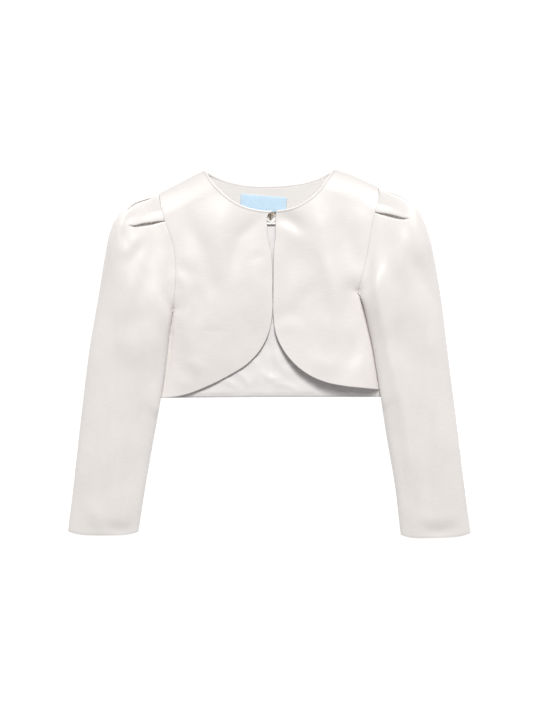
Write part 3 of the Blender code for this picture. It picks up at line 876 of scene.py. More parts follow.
def add_slab(name: str, plan: Plan, across: np.ndarray, along: np.ndarray, top: Field, bottom: Field,
             materials: Materials, slot: Slot) -> bpy.types.Object:
    """Make a panel of cloth that lies between two heights.

    Args:
        name: the piece's name.
        plan: its plan, from shares across and along.
        across: shares of its columns.
        along: shares of its rows.
        top: the height of its upper side.
        bottom: the height of its underside.
        materials: the finish of its upper side and edge, and that of its underside.
        slot: passed on to finish_piece, which doesn't use it.

    Returns:
        The piece.
    """
    bm, spots = start_grid(len(across), len(along))
    xy = plan(across[spots[:, 0]], along[spots[:, 1]])
    upper, lower = top(xy), bottom(xy)
    number = {tuple(round(c, 6) for c in vert.co): place for place, vert in enumerate(bm.verts)}
    extruded = bmesh.ops.extrude_face_region(bm, geom=bm.faces[:])["geom"]
    raised = {item for item in extruded if isinstance(item, bmesh.types.BMVert)}
    places = {}
    for vert in bm.verts:
        place = number[tuple(round(c, 6) for c in vert.co)]
        x, y = xy[place]
        places[vert] = (x, y)
        vert.co = (x, y, upper[place] if vert in raised else lower[place])
    map_cloth(bm, places)
    if len(materials) > 1:
        for face in bm.faces:
            face.material_index = 0 if any(vert in raised for vert in face.verts) else 1
    return finish_piece(bm, name, materials, slot)


def add_wires(name: str, lines: Sequence[Sequence[Sequence[float]]], radius: float, count: int,
              material: bpy.types.Material, slot: Slot) -> bpy.types.Object:
    """Bend wires or threads of round section.

    Args:
        name: the piece's name.
        lines: the places that each wire passes, in millimetres.
        radius: half its thickness.
        count: how many points each has.
        material: its finish.
        slot: not used.

    Returns:
        The piece.
    """
    curve = bpy.data.curves.new(name, "CURVE")
    curve.dimensions = "3D"
    curve.bevel_depth = radius * MM
    curve.bevel_resolution = 3
    curve.use_fill_caps = True
    for line in lines:
        points = sampled(smooth_path(line), count)
        spline = curve.splines.new("POLY")
        spline.points.add(len(points) - 1)
        for place, point in zip(spline.points, points):
            place.co = (*(value * MM for value in point), 1.0)
    curve.materials.append(material)
    piece = bpy.data.objects.new(name, curve)
    bpy.context.scene.collection.objects.link(piece)
    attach(piece, "root")
    LOG.info("%s: %d lines", name, len(lines))
    return piece


@dataclass
class FrontPanel:
    """One front, with its rolled neck edge and its turned centre and cutaway edges."""

    half: Half
    finishes: Finishes
    width: float = 128.0
    length: float = 235.0
    step: float = 1.9
    fine: Sequence[float] = (0.0, 0.15, 0.35, 0.6, 0.9, 1.3, 1.8, 2.4, 3.1, 4.0, 5.2)
    shoulder_share: float = 7 / 18  # of the shoulder and the neck together
    line_points: int = 120
    press_run: float = 45.0
    seam_allowance: float = 0.8  # how far from a seam the underside lies on the back
    under_run: float = 2.2

    def __post_init__(self) -> None:
        """Work out the outlines."""
        half = self.half
        self.plate: Field = thin_plate(half.heights)
        self.armhole: Curve = smooth_path(half.armhole)
        shoulder, neck, edge = smooth_path(half.shoulder), smooth_path(half.neck), smooth_path(half.edge)
        side = smooth_path(half.seam)
        self.plan: Plan = patch(
            top=joined(shoulder, neck, self.shoulder_share),
            bottom=lambda u: edge(1 - np.asarray(u) * (1 - half.corner)),
            left=joined(self.armhole, side, ARMHOLE_SHARE),
            right=lambda v: edge(np.asarray(v) * half.corner),
        )
        count = self.line_points
        self.shoulder_line = sampled(shoulder, count)
        self.inner_line = sampled(smooth_path(half.inner), count)
        self.neck_line = sampled(neck, count)
        self.edge_line = sampled(edge, count)
        up_side, up_armhole = sampled(side, count)[::-1], sampled(self.armhole, count)[::-1]
        self.seam_line = np.concatenate([up_side, up_armhole[1:], self.shoulder_line[1:]])

    def soft(self, xy: np.ndarray) -> np.ndarray:
        """Work out how far the front has risen from its flat seams.

        Args:
            xy: places on the plan.

        Returns:
            The rise at each place, from 0 to 1.
        """
        shoulder = distance_to(self.shoulder_line, xy)
        line = self.inner_line
        below = line[0, 1] - xy[:, 1]
        edge_x = np.interp(-xy[:, 1], -line[:, 1], line[:, 0])
        covered = (below > 0) & ((edge_x - xy[:, 0]) * self.half.sign < 0)
        pressed = self.half.press * smooth_step(below / self.press_run)
        side = np.where(covered, 0.0, np.maximum(0.0, distance_to(line, xy) - pressed))
        return smooth_step(shoulder / CLOTH.shoulder_run) * round_up(side, CLOTH.soft_edge)

    def body(self, xy: np.ndarray) -> np.ndarray:
        """Work out the height of the cloth, without its turned edges.

        Args:
            xy: places on the plan.

        Returns:
            The height at each place.
        """
        soft = self.soft(xy)
        full = self.plate(xy) + (raised(self.half.creases, xy) + raised(UNEVEN, xy)) * soft
        return CLOTH.seam_top + np.maximum(full - CLOTH.seam_top, 0.0) * soft

    def rim(self, xy: np.ndarray) -> np.ndarray:
        """Work out how far a rounded edge falls short of the wall's face.

        Args:
            xy: places on the plan.

        Returns:
            The shortfall at each place.
        """
        free = np.minimum(distance_to(self.neck_line, xy), distance_to(self.edge_line, xy))
        seam = distance_to(self.seam_line, xy)
        turned = CLOTH.rim_radius * (1 - round_up(free, CLOTH.rim_radius))
        sewn = CLOTH.seam_radius * (1 - round_up(seam, CLOTH.seam_radius))
        return np.maximum(turned, sewn)

    def top(self, xy: np.ndarray) -> np.ndarray:
        """Work out the height of the upper side.

        Args:
            xy: places on the plan.

        Returns:
            The height at each place.
        """
        neck, seam = distance_to(self.neck_line, xy), distance_to(self.seam_line, xy)
        bead = CLOTH.bead * np.exp(-(((neck - CLOTH.bead_place) / CLOTH.bead_width) ** 2))
        groove = -CLOTH.bead_groove * np.exp(-(((neck - CLOTH.groove_place) / CLOTH.groove_width) ** 2))
        dip = -CLOTH.seam_dip * np.exp(-((seam / CLOTH.seam_reach) ** 2)) * self.soft(xy)
        return self.body(xy) + bead + groove + dip - self.rim(xy)

    def bottom(self, xy: np.ndarray) -> np.ndarray:
        """Work out the height of the underside.

        Args:
            xy: places on the plan.

        Returns:
            The height at each place.
        """
        inside = smooth_step((distance_to(self.seam_line, xy) - self.seam_allowance) / self.under_run)
        lowest = CLOTH.inside_floor + (CLOTH.inside_top + CLOTH.gap - CLOTH.inside_floor) * inside
        return (self.body(xy) - CLOTH.front) * inside + lowest * (1 - inside) + self.rim(xy)

    def build(self) -> bpy.types.Object:
        """Build the panel.

        Returns:
            The panel.
        """
        across = clustered(self.width, self.step, self.fine)
        along = clustered(self.length, self.step, self.fine)
        finishes = self.finishes
        piece = add_slab(f"front_{self.half.name}_cloth", self.plan, across, along, self.top, self.bottom,
                         [finishes.satin, finishes.lining], Slot.SATIN)
        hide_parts(f"front_{self.half.name}")
        return piece


@dataclass(frozen=True)
class Pleat:
    """The section of a pleat, as places across it and heights, and how it runs."""

    narrow: Spots  # as it leaves the seam
    wide: Spots  # where it gapes most
    columns: int
    start: float  # the shares of the sleeve's outer edge where it starts and ends
    end: float
    gape: float  # where between them it gapes most
    start_depth: float = 0.8  # the share of its depth that it has at its start
    start_run: float = 0.12
    end_past: float = 1.04  # where it has gone flat, as a share of its length
    end_run: float = 0.2

    @property
    def reach(self) -> tuple[float, float]:
        """How far it takes up cloth on both sides of its line."""
        return self.narrow[0][0], self.narrow[-1][0]

    def spread(self) -> np.ndarray:
        """Return the places of its columns across the cloth before it is folded."""
        return np.linspace(*self.reach, self.columns)

    def fold(self, along: float, end: float) -> tuple[np.ndarray, np.ndarray]:
        """Fold the columns.

        Args:
            along: the share of the outer edge.
            end: the share where the pleat has opened out.

        Returns:
            Their places across the pleat, and how far they rise.
        """
        run = (along - self.start) / (end - self.start)
        midway = math.log(0.5) / math.log(self.gape)
        gape = max(math.sin(math.pi * min(max(run, 0.0), 1.0) ** midway), 0.0)
        depth = min(run / self.start_run + self.start_depth, (self.end_past - run) / self.end_run)
        strength = float(smooth_step(np.array([depth]))[0])
        knots = np.linspace(0, 1, len(self.narrow))
        section = np.array(self.narrow) * (1 - gape) + np.array(self.wide) * gape
        slopes = np.gradient(section, knots, axis=0)
        folded = between(section, slopes, knots, np.linspace(0, 1, self.columns))
        spread = self.spread()
        return spread + (folded[:, 0] - spread) * strength, folded[:, 1] * strength


HEAD_PLEAT = Pleat(
    narrow=((-4.0, 0.0), (-1.6, -0.1), (-0.6, -0.6), (-0.3, -1.7), (0.0, -2.8), (0.4, -2.6), (0.35, -1.4),
            (0.4, -0.2), (0.9, 0.4), (2.5, 0.6), (5.0, 0.5)),
    wide=((-4.2, 0.0), (-2.9, -0.4), (-2.2, -1.9), (-1.6, -4.4), (0.2, -6.6), (2.2, -5.6), (2.0, -3.2),
          (1.2, -0.7), (1.5, 0.5), (2.8, 0.9), (5.0, 0.8)),
    columns=43, start=0.0, end=0.135, gape=0.56)
EDGE_PLEAT = Pleat(
    narrow=((-1.6, 0.0), (-0.9, -0.1), (-0.4, -0.5), (-0.1, -1.0), (0.2, -0.6), (0.5, 0.2), (1.4, 0.5),
            (2.4, 0.3)),
    wide=((-1.6, 0.0), (-1.0, -0.2), (-0.5, -0.8), (-0.1, -1.5), (0.3, -1.0), (0.5, 0.2), (1.3, 0.7),
          (2.4, 0.4)),
    columns=17, start=0.03, end=0.104, gape=0.5)


@dataclass
class Sleeve:
    """One sleeve: a laid tube with a pleated, puffed head."""

    half: Half
    front: FrontPanel
    finishes: Finishes
    length: float = 443.0
    cut_length: float = 430.0
    rings: int = 150
    ring_spread: float = 1.3
    seam_rings: Sequence[float] = (0.0, 0.0015, 0.004)
    low_columns: int = 44
    middle_columns: int = 12
    under_columns: int = 30
    line_points: int = 60
    head_end: float = 0.244
    head_bend: float = 1.5
    head_blend: float = STATIONS[3].outer
    fold_radius: float = 5.0  # along its outer edge
    inner_radius: float = 3.9  # along its inner edge
    crown_power: float = 3.0
    head_power: float = 6.5
    head_fade: float = 0.30
    rest: float = CLOTH.seam_top + 0.8
    rest_run: float = 13.0
    rest_past: float = 14.0
    rest_overlap: float = 1.0
    head_seam: float = 9.0
    least_gap: float = 2.2  # between its two sides, where the sleeve is fullest
    cuff_drop: float = 5.0
    cuff_start: float = 0.80
    cuff_hem: float = 0.95
    edge_pleat_place: float = 5.0   # from the outer edge
    flap_reach: float = 15.0
    inner_ends: Sequence[float] = (0.0, 0.3, 0.9, 1.8, 3.2, 5.0, 7.4, 10.4)
    outer_ends: Sequence[float] = (2.0, 1.4, 0.8, 0.3, 0.0)
    rim_width: float = 0.4
    rim_angle: float = 70.0
    merge: float = 0.001

    def __post_init__(self) -> None:
        """Work out the edges."""
        half = self.half
        self.outer: Curve = smooth_path(half.outer)
        self.inner: Curve = smooth_path(half.inner)
        self.seam_line = sampled(smooth_path(half.seam), self.line_points)
        self.rows = np.array([[s.outer, s.inner, s.crown, s.pleat] for s in STATIONS])
        self.places = np.linspace(0, 1, len(self.rows))
        self.slopes = np.gradient(self.rows, self.places, axis=0)

    def lift(self, xy: np.ndarray) -> np.ndarray:
        """Work out how high the sleeve lies where it rests on the side of the bodice.

        Args:
            xy: places on the plan.

        Returns:
            The height at each place, which is 0 where it lies on the floor.
        """
        line = self.seam_line
        seam_x = np.interp(-xy[:, 1], -line[:, 1], line[:, 0])
        outside = (xy[:, 0] - seam_x) * self.half.sign - self.rest_overlap
        past = np.maximum(xy[:, 1] - line[0, 1], line[-1, 1] - self.rest_past - xy[:, 1])
        beyond = np.maximum(past, 0.0)
        across = 1 - smooth_step(outside / self.rest_run)
        return self.rest * across * (1 - smooth_step(beyond / self.rest_run))

    def over_columns(self, width: float, pleat: float) -> tuple[np.ndarray, slice, slice]:
        """Space the columns of the upper side.

        Args:
            width: the ring's width.
            pleat: the share at which the head's pleat crosses it.

        Returns:
            Their shares of the width, and which of them fold in the two pleats.
        """
        centre, edge = pleat * width, width - self.edge_pleat_place
        first, second = centre + HEAD_PLEAT.spread(), edge + EDGE_PLEAT.spread()
        low = np.linspace(self.inner_ends[-1], first[0], self.low_columns)
        middle = np.linspace(first[-1], second[0], self.middle_columns)
        parts = [np.array(self.inner_ends[:-1]), low[:-1], first, middle[1:-1], second,
                 width - np.array(self.outer_ends)]
        starts = np.cumsum([0] + [len(part) for part in parts])
        return np.concatenate(parts) / width, slice(starts[2], starts[3]), slice(starts[4], starts[5])

    def ring_plan(self, share: np.ndarray, inner: np.ndarray, outer: np.ndarray,
                  down: float) -> tuple[np.ndarray, np.ndarray]:
        """Place a ring on the plan, bent to the armhole in the head and bowed at the cuff.

        Args:
            share: the shares of its places across it.
            inner: its place on the inner edge.
            outer: its place on the outer edge.
            down: how far down the outer edge it lies, from 0 to 1.

        Returns:
            Its places, and the places of the armhole that they come from.
        """
        xy = inner + (outer - inner) * share[:, None]
        bend = max(1 - down / self.head_end, 0.0) ** self.head_bend
        armhole = self.front.armhole(1 - share)
        chord = self.inner(0.0) + (self.outer(0.0) - self.inner(0.0)) * share[:, None]
        xy = xy + (armhole - chord) * bend
        xy[:, 0] += self.half.sign * CLOTH.armhole_gap * bend
        cuff = max(down - self.cuff_start, 0.0) / (1 - self.cuff_start)
        xy[:, 1] -= self.cuff_drop * (1 - (2 * share - 1) ** 4) * cuff**2
        return xy, armhole

    def crown(self, share: np.ndarray, down: float) -> np.ndarray:
        """Work out how full the upper side is.

        Args:
            share: shares across a ring.
            down: how far down the outer edge the ring lies, from 0 to 1.

        Returns:
            The fullness at each share, from 0 to 1.
        """
        flat = smooth_step(np.array([1 - down / self.head_fade]))[0]
        power = self.crown_power + (self.head_power - self.crown_power) * flat
        return (1 - np.abs(2 * share - 1) ** power) ** (1 / power)

    def lower(self, share: np.ndarray, xy: np.ndarray, width: float, fold: np.ndarray) -> np.ndarray:
        """Return the height of the lower side, turned up at both ends.

        Args:
            share: the shares of its places across the ring.
            xy: its places.
            width: the ring's width.
            fold: the height at which each side's fold stands.

        Returns:
            The heights.
        """
        lift = self.lift(xy)
        radius = np.maximum(fold - lift, 0.0)
        turn = np.maximum(radius - np.minimum(share, 1 - share) * width, 0.0)
        return lift + radius - np.sqrt(np.maximum(radius**2 - turn**2, 0.0))

    def ring(self, along: float) -> np.ndarray:
        """Lay one ring of the outer side, over and back underneath.

        Args:
            along: how far down the sleeve it lies, as a share of the stations.

        Returns:
            Its places, in millimetres.
        """
        down, inner_share, height, pleat = between(self.rows, self.slopes, self.places, along)[0]
        inner, outer = self.inner(inner_share)[0], self.outer(down)[0]
        width = float(np.linalg.norm(outer - inner))
        over, head, edge = self.over_columns(width, pleat)
        ends = np.array(self.inner_ends) / width
        straight = np.linspace(1 - ends[-1], ends[-1], self.under_columns)[1:]
        share = np.concatenate([over, 1 - ends[1:], straight, ends[-2::-1]])
        xy, armhole = self.ring_plan(share, inner, outer, down)
        crown = self.crown(share, down)
        fold = (self.lift(inner[None])[0] + self.inner_radius) * (1 - share) + self.fold_radius * share
        lower = self.lower(share, xy, width, fold)
        full = fold + (height - fold) * crown
        full = full + (raised(self.half.folds, xy) + raised(UNEVEN, xy)) * crown
        low = self.fold_radius + (self.head_seam - self.fold_radius) * crown
        seam = np.maximum(self.front.body(armhole), low)
        blend = smooth_step(np.array([down / self.head_blend]))[0]
        dip = CLOTH.seam_dip * math.exp(-((down * self.length / CLOTH.seam_reach) ** 2))
        upper = seam * (1 - blend) + full * blend - dip * crown
        across = np.zeros(len(share))
        folded, rise = HEAD_PLEAT.fold(down, self.half.pleat_end)
        across[head] += folded - HEAD_PLEAT.spread()
        upper[head] += rise
        flap = slice(head.stop, len(over))
        past = (share[flap] - share[head.stop - 1]) * width
        upper[flap] += rise[-1] * np.exp(-past / self.flap_reach) * crown[flap]
        folded, rise = EDGE_PLEAT.fold(down, EDGE_PLEAT.end)
        across[edge] += (folded - EDGE_PLEAT.spread()) * self.half.edge_pleat
        upper[edge] += rise * self.half.edge_pleat
        xy = xy + (outer - inner) / width * across[:, None]
        below = np.arange(len(share)) >= len(over)
        upper = np.maximum(upper, lower + self.least_gap * crown)
        return np.column_stack([xy, np.where(below, lower, upper)])

    def build(self) -> bpy.types.Object:
        """Build the sleeve.

        Returns:
            The sleeve.
        """
        spaced = np.linspace(0, 1, self.rings - 2)[1:] ** self.ring_spread
        along = np.sort(np.concatenate([self.seam_rings, spaced]))
        rings = [self.ring(value) for value in along]
        bm, spots = start_grid(len(rings[0]), len(rings))
        middle = rings[len(rings) // 3]
        around = np.concatenate([[0.0], np.cumsum(np.linalg.norm(np.diff(middle, axis=0), axis=1))])
        places = {}
        for vert, (column, row) in zip(bm.verts, spots):
            vert.co = rings[row][column]
            places[vert] = (around[column], along[row] * self.cut_length)
        hem = {vert for vert, (_, row) in zip(bm.verts, spots) if along[row] > self.cuff_hem}
        for face in bm.faces:
            face.material_index = 2 if all(vert in hem for vert in face.verts) else 0
        map_cloth(bm, places)
        bmesh.ops.remove_doubles(bm, verts=bm.verts, dist=self.merge)
        finishes = self.finishes
        piece = finish_piece(bm, f"sleeve_{self.half.name}_cloth",
                             [finishes.satin, finishes.lining, finishes.satin, finishes.satin], Slot.SATIN)
        wall = piece.modifiers.new("wall", "SOLIDIFY")
        wall.thickness = CLOTH.sleeve * MM
        wall.offset = -1.0
        wall.material_offset = 1
        rim = piece.modifiers.new("rim", "BEVEL")
        rim.limit_method = "ANGLE"
        rim.angle_limit = math.radians(self.rim_angle)
        rim.width = self.rim_width * MM
        rim.segments = 2
        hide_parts(f"sleeve_{self.half.name}")
        return piece


FACING_HEM = ((-92.0, 176.0), (-48.0, 160.0), (0.0, 154.6), (48.0, 160.0), (92.0, 176.0))


@dataclass
class OuterBack:
    """The back's outer cloth, with its neck edge rolled over."""

    finishes: Finishes
    neck: Spots = (
        (-77.0, 220.4), (-61.8, 211.6), (-39.0, 204.4), (-19.0, 201.8), (3.0, 201.6), (27.0, 203.2),
        (52.2, 208.4), (66.6, 214.8), (77.0, 221.8))
    hem: Spots = ((-136.5, -53.4), (0.0, -52.2), (139.0, -52.2))
    right_seam: Spots = ((106.2, 73.8), (115.6, 60.0), (122.0, 36.0), (129.4, 0.0), (139.0, -52.2))
    neck_start: float = 3 / 11  # of the left shoulder and the neck together
    neck_end: float = 11 / 14  # of the whole upper edge
    columns: int = 161
    neck_points: int = 160
    hem_points: int = 60
    length: float = 255.0
    step: float = 4.0
    fine: Sequence[float] = (0.0, 0.25, 0.6, 1.0, 1.4, 1.8, 2.2, 2.6, 3.0, 3.3, 3.5, 3.7, 5.0)
    roll_past: float = 0.2  # how far the turned cloth reaches behind the roll
    roll_drop: float = 0.15  # how far it lies below the facing there
    hem_depth: float = 0.5
    hem_radius: float = 0.7

    def build(self) -> bpy.types.Object:
        """Build the back.

        Returns:
            The back.
        """
        neck = smooth_path(self.neck)
        right_shoulder = smooth_path(RIGHT.shoulder)
        upper = joined(smooth_path(LEFT.shoulder), neck, self.neck_start)
        neck_line = sampled(neck, self.neck_points)
        hem_line = sampled(smooth_path(self.hem), self.hem_points)
        plan = patch(
            top=joined(upper, lambda t: right_shoulder(1 - np.asarray(t)), self.neck_end),
            bottom=smooth_path(self.hem),
            left=joined(smooth_path(LEFT.armhole), smooth_path(LEFT.seam), ARMHOLE_SHARE),
            right=joined(smooth_path(RIGHT.armhole), smooth_path(self.right_seam), ARMHOLE_SHARE),
        )

        def top(xy: np.ndarray) -> np.ndarray:
            """Work out the height of the upper side, with the roll along the neck.

            Args:
                xy: places on the plan.

            Returns:
                The height at each place.
            """
            distance = distance_to(neck_line, xy)
            middle = CLOTH.neck_roll_width / 2
            roll = np.maximum(1 - ((distance - middle) / middle) ** 4, 0.0) ** 0.25
            turned = (distance > middle) & (distance < CLOTH.neck_roll_width + self.roll_past)
            behind = np.where(turned, CLOTH.inside_top - self.roll_drop, 0.0)
            hem = self.hem_depth * (1 - round_up(distance_to(hem_line, xy), self.hem_radius))
            return np.maximum(np.maximum(CLOTH.back, behind), CLOTH.neck_roll * roll) - hem

        across, along = np.linspace(0, 1, self.columns), clustered(self.length, self.step, self.fine)
        piece = add_slab("back_cloth", plan, across, along, top, lambda xy: np.zeros(len(xy)),
                         [self.finishes.satin], Slot.SATIN)
        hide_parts("back")
        return piece


@dataclass
class NeckFacing:
    """The back's neck facing, whose lower edge curls up where the fronts leave it free."""

    finishes: Finishes
    neck: Spots = (
        (-70.5, 210.5), (-59.0, 206.6), (-38.0, 200.6), (-18.0, 198.2), (3.0, 198.0), (27.0, 199.5),
        (50.0, 204.2), (70.5, 211.5))
    columns: int = 110
    hem_points: int = 90
    length: float = 42.0
    step: float = 2.0
    fine: Sequence[float] = (0.0, 0.3, 0.7, 1.2, 1.8)
    curl: float = 3.1
    curl_depth: float = 4.5
    curl_reach: float = 22.0

    def build(self) -> bpy.types.Object:
        """Build the facing.

        Returns:
            The facing.
        """
        hem = smooth_path(FACING_HEM)
        plan = patch(smooth_path(self.neck), hem, smooth_path((self.neck[0], FACING_HEM[0])),
                     smooth_path((self.neck[-1], FACING_HEM[-1])))
        hem_line = sampled(hem, self.hem_points)

        def curled(xy: np.ndarray) -> np.ndarray:
            """Return how far it stands up off the back."""
            near = np.exp(-((distance_to(hem_line, xy) / self.curl_depth) ** 2))
            return self.curl * near * np.exp(-((xy[:, 0] / self.curl_reach) ** 2))

        across, along = np.linspace(0, 1, self.columns), clustered(self.length, self.step, self.fine)
        # Its finish is the ivory satin with painted shade: a darker copy of the same colour.
        piece = add_slab("back_neck_facing_cloth", plan, across, along,
                         lambda xy: CLOTH.inside_top + curled(xy), lambda xy: CLOTH.inside_floor + curled(xy),
                         [self.finishes.facing], Slot.SATIN)
        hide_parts("back_neck_facing")
        return piece


@dataclass
class BackLining:
    """The back's lining, wrinkled where it shows and turned in at its hem."""

    finishes: Finishes
    left: Spots = ((-92.0, 175.5), (-106.0, 110.0), (-108.0, 70.0), (-118.0, 20.0), (-133.0, -51.6))
    right: Spots = ((92.0, 175.5), (106.0, 120.0), (102.0, 74.0), (114.0, 24.0), (136.0, -50.8))
    hem: Spots = ((-133.0, -51.6), (0.0, -50.8), (136.0, -50.8))
    facing_gap: float = 0.5
    columns: int = 170
    hem_points: int = 60
    length: float = 205.0
    step: float = 1.9
    fine: Sequence[float] = (0.0, 0.3, 0.7, 1.2, 1.8, 2.6, 3.6, 5.0)
    hem_depth: float = 0.78
    hem_reach: float = 5.0
    unevenness: float = 0.8  # its waves' height against those of the satin
    closeness: float = 2.1  # how much closer its waves stand
    wrinkles: Sequence[Crease] = (
        Crease((-62, -30), (-50, -34), (-34, -44), 4, 0.7),
        Crease((-44, -20), (-34, -26), (-22, -40), 4.5, 0.9),
        Crease((-24, 2), (-16, -14), (-20, -40), 5, 1.0),
        Crease((-10, -22), (2, -30), (14, -30), 4.5, 0.9),
        Crease((8, 2), (14, -16), (26, -24), 5, 0.9),
        Crease((4, -36), (20, -38), (36, -45), 4, 0.8),
        Crease((58, -28), (60, -38), (58, -50), 3, -0.5),
        Crease((72, -34), (76, -42), (75, -50), 4, 1.2),
        Crease((98, -36), (99, -43), (98, -51), 3.5, 1.5),
        Crease((127, -40), (128, -46), (127, -51), 3.5, 1.6),
        Crease((-4, 20), (2, -6), (-2, -46), 4, -0.7),
        Crease((0, 150), (4, 120), (3, 80), 3, 0.5),
    )

    def build(self) -> bpy.types.Object:
        """Build the lining.

        Returns:
            The lining.
        """
        upper = smooth_path(FACING_HEM)
        hem = smooth_path(self.hem)
        plan = patch(lambda u: upper(u) - np.array([0.0, self.facing_gap]), hem, smooth_path(self.left),
                     smooth_path(self.right))
        hem_line = sampled(hem, self.hem_points)

        def top(xy: np.ndarray) -> np.ndarray:
            """Work out the height of the upper side.

            Args:
                xy: places on the plan.

            Returns:
                The height at each place.
            """
            inside = smooth_step(distance_to(hem_line, xy) / self.hem_reach)
            wrinkled = raised(self.wrinkles, xy) + self.unevenness * raised(UNEVEN, xy * self.closeness)
            return CLOTH.inside_top - self.hem_depth * (1 - inside) + wrinkled * inside

        across, along = np.linspace(0, 1, self.columns), clustered(self.length, self.step, self.fine)
        piece = add_slab("back_lining_cloth", plan, across, along, top,
                         lambda xy: np.full(len(xy), CLOTH.inside_floor), [self.finishes.lining], Slot.LINING)
        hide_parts("back_lining")
        return piece


@dataclass
class Label:
    """The bare woven label, with its stitches."""

    finishes: Finishes
    corners: Spots = ((-34.2, 191.4), (21.0, 186.8), (19.5, 167.6), (-35.7, 172.2))
    columns: int = 70
    rows: int = 26
    side_points: int = 60
    thickness: float = 0.6
    bulge: float = 0.5
    bulge_run: float = 2.5
    ripple: float = 0.12
    ripple_run: float = 5.0
    stitch_inset: float = 1.2
    stitch_step: float = 0.11  # shares of the label's end
    stitch_length: float = 0.06
    stitch_end: float = 0.98
    stitch_height: float = 0.95
    stitch_dip: float = 0.25
    stitch_radius: float = 0.16

    def build(self) -> bpy.types.Object:
        """Build the label.

        Returns:
            The label.
        """
        first, second, third, last = (np.array(corner) for corner in self.corners)
        edges = [smooth_path(pair) for pair in ((first, second), (last, third), (first, last), (second, third))]
        lower = CLOTH.inside_top + CLOTH.gap
        sides = [sampled(edge, self.side_points) for edge in edges]

        def lift(xy: np.ndarray) -> np.ndarray:
            """Return how the label's middle stands off the facing."""
            rise = np.prod([1 - np.exp(-distance_to(side, xy) / self.bulge_run) for side in sides], axis=0)
            return (self.bulge + self.ripple * np.sin(xy[:, 0] / self.ripple_run)) * rise

        piece = add_slab("label_cloth", patch(*edges), np.linspace(0, 1, self.columns),
                         np.linspace(0, 1, self.rows), lambda xy: lower + self.thickness + lift(xy),
                         lambda xy: np.full(len(xy), lower), [self.finishes.label], Slot.LABEL)
        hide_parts("label")
        self.sew(edges[2:], lower + self.stitch_height)
        return piece

    def sew(self, ends: Sequence[Curve], height: float) -> None:
        """Sew the label down with a row of stitches at each end.

        Args:
            ends: the label's left and right ends.
            height: how high the stitches stand.
        """
        stitches = []
        for end, inset in zip(ends, (self.stitch_inset, -self.stitch_inset)):
            for share in np.arange(self.stitch_length, self.stitch_end, self.stitch_step):
                start, finish = end(share)[0], end(share + self.stitch_length)[0]
                stitches.append([
                    (start[0] + inset, start[1], height - self.stitch_dip),
                    (start[0] + inset, (start[1] + finish[1]) / 2, height),
                    (finish[0] + inset, finish[1], height - self.stitch_dip),
                ])
        add_wires("label_stitches", stitches, self.stitch_radius, 5, self.finishes.thread, Slot.LABEL)


def doubled(line: Sequence[Sequence[float]], spread: float) -> list[np.ndarray]:
    """Lay a wire out along a line and back beside itself.

    Args:
        line: the places that the line passes, in millimetres.
        spread: how far each run lies from the line.

    Returns:
        The places of the wire, out on one side and back on the other.
    """
    points = np.array(line, float)
    ahead = np.gradient(points[:, :2], axis=0)
    aside = np.column_stack([-ahead[:, 1], ahead[:, 0]])
    aside /= np.maximum(np.linalg.norm(aside, axis=1), 1e-6)[:, None]
    shift = np.column_stack([aside * spread, np.zeros(len(points))])
    return list(points + shift) + list((points - shift)[::-1])


@dataclass
class Fastener:
    """The hook and the eye at the neck, closed over each other, and the thread that holds them."""

    finishes: Finishes
    hook_radius: float = 0.36
    eye_radius: float = 0.4
    wire_points: int = 90
    eye_points: int = 60
    thread: float = 0.24
    thread_points: int = 14
    sewn: float = 5.1
    hook: Spots = (
        (-3.6, 168.0, 4.9), (-1.2, 167.6, 4.5), (0.3, 165.2, 4.3), (1.4, 162.9, 4.4), (2.1, 161.6, 5.7),
        (1.5, 162.8, 7.0), (0.4, 165.0, 7.1), (-0.1, 166.1, 7.0))
    eye: Spots = (
        (13.2, 171.4, 5.1), (11.0, 171.4, 5.1), (8.0, 169.9, 5.1), (4.4, 168.3, 5.0), (1.8, 166.8, 5.5),
        (0.6, 164.7, 5.7), (1.4, 163.0, 5.7), (3.2, 163.4, 5.7), (4.4, 165.4, 5.5), (6.0, 166.6, 5.1),
        (8.6, 167.4, 5.1), (12.5, 168.0, 5.1))
    loops: Spots = ((-6.5, 169.6), (-9.2, 170.2), (-10.4, 168.6), (-8.8, 167.2), (-6.4, 167.2))
    bar: Spots = (
        (-3.6, 161.0, 5.4, 0.0), (-1.4, 159.4, 5.5, 0.0), (2.8, 156.9, 5.2, 0.2), (6.6, 160.0, 5.5, 0.0),
        (9.0, 162.0, 5.4, 0.0))  # the last number is how far a strand sways with its place in the bar
    bar_strands: int = 5
    bar_step: float = 0.42
    tacks: int = 3
    hook_tack_x: float = -7.4
    eye_tack_x: float = 10.6
    hook_tack: Spots = ((169.9, 5.0), (169.0, 5.7), (168.0, 5.0))
    eye_tack: Spots = ((172.0, 4.9), (171.2, 5.7), (170.4, 4.9))

    def build(self) -> None:
        """Bend the wires and sew them on."""
        metal = self.finishes.metal
        loops = [(x, y, self.sewn) for x, y in self.loops]
        bent = [loops[2], loops[1], loops[0], *doubled(self.hook, self.hook_radius), loops[4], loops[3]]
        hook = add_wires("hook_wire", [bent], self.hook_radius, self.wire_points, metal, Slot.METAL)
        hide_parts("hook")
        eye = add_wires("eye_wire", [self.eye], self.eye_radius, self.eye_points, metal, Slot.METAL)
        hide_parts("eye")
        strands = []
        for number in range(self.bar_strands):
            shift = self.bar_step * (number - 2)
            strands.append([(x + sway * shift, y + shift, z) for x, y, z, sway in self.bar])
        for number in range(self.tacks):
            strands.append([(self.hook_tack_x - number, y, z) for y, z in self.hook_tack])
            strands.append([(self.eye_tack_x + number, y, z) for y, z in self.eye_tack])
        add_wires("fastener_thread", strands, self.thread, self.thread_points, self.finishes.thread, Slot.SATIN)


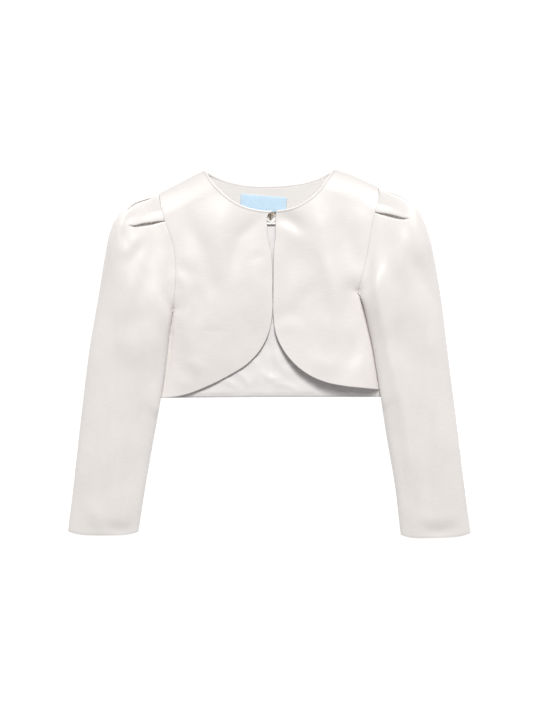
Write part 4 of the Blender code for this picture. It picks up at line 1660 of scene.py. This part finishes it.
@dataclass(frozen=True)
class Softbox:
    """A square soft light that faces the jacket, in metres and watts."""

    name: str
    place: tuple[float, float, float]
    side: float
    power: float

    def hang(self) -> None:
        """Hang it in the scene."""
        lamp = bpy.data.lights.new(self.name, "AREA")
        lamp.size = self.side
        lamp.energy = self.power
        holder = bpy.data.objects.new(self.name, lamp)
        holder.location = self.place
        holder.rotation_euler = (-Vector(self.place)).to_track_quat("-Z", "Y").to_euler()
        bpy.context.scene.collection.objects.link(holder)


@dataclass
class Studio:
    """The pale floor, the soft lights and the camera over the jacket."""

    height: float = 4.0
    pixel: float = 1.2
    frame_height: int = 720
    sensor: float = 24.0
    sight: float = 50.0
    centre: tuple[float, float] = (0.6, -7.8)
    sky: float = 0.31
    floor_size: float = 6.0
    floor_height: float = -0.0003
    floor_tone: float = 0.20
    floor_glow: float = 0.95
    lights: Sequence[Softbox] = (
        Softbox("key softbox", (0.35, 4.3, 4.55), 1.5, 303.0),
        Softbox("crest light", (0.1, 3.1, 4.9), 1.3, 82.0),
    )

    def build(self) -> None:
        """Set them up."""
        scene = bpy.context.scene
        scene.view_settings.view_transform = "Standard"
        self.lay_floor(scene)
        world = bpy.data.worlds.new("room")
        world.use_nodes = True
        feed(world.node_tree, world.node_tree.nodes["Background"],
             {"Color": (1.0, 1.0, 1.0, 1.0), "Strength": self.sky})
        scene.world = world
        for light in self.lights:
            light.hang()
        camera = bpy.data.cameras.new("camera")
        camera.sensor_fit = "VERTICAL"
        camera.sensor_height = self.sensor
        camera.lens = camera.sensor_height * self.height / (self.pixel * MM * self.frame_height)
        camera.clip_end = self.sight
        eye = bpy.data.objects.new("camera", camera)
        eye.location = (self.centre[0] * MM, self.centre[1] * MM, self.height)
        scene.collection.objects.link(eye)
        scene.camera = eye

    def lay_floor(self, scene: bpy.types.Scene) -> None:
        """Lay the floor just under the jacket.

        Args:
            scene: the scene that it lies in.
        """
        bm = bmesh.new()
        bmesh.ops.create_grid(bm, x_segments=1, y_segments=1, size=self.floor_size)
        bmesh.ops.translate(bm, vec=(0, 0, self.floor_height), verts=bm.verts)
        mesh = bpy.data.meshes.new("floor")
        bm.to_mesh(mesh)
        bm.free()
        ground = bpy.data.objects.new("floor", mesh)
        scene.collection.objects.link(ground)
        paper, tree, shader = start_material("paper")
        feed(tree, shader, {
            "Base Color": (self.floor_tone, self.floor_tone, self.floor_tone, 1.0),
            "Roughness": 0.9,
            "Specular IOR Level": 0.1,
            "Emission Color": (1.0, 1.0, 1.0, 1.0),
            "Emission Strength": self.floor_glow,
        })
        mesh.materials.append(paper)
        ground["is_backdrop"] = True


def main() -> dict:
    """Build the jacket and the studio.

    Returns:
        The CAD model's box and the visual model's, as lists of numbers.
    """
    logging.basicConfig(level=logging.INFO)
    sizes = {"cad": [list(corner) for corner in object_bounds()]}
    Studio().build()
    finishes = Finishes()
    for part in (OuterBack, NeckFacing, BackLining, Label):
        part(finishes).build()
    for half in (LEFT, RIGHT):
        front = FrontPanel(half, finishes)
        front.build()
        Sleeve(half, front, finishes).build()
    Fastener(finishes).build()
    sizes["visual"] = [list(corner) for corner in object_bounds()]
    return sizes


if __name__ == "__main__":
    main()
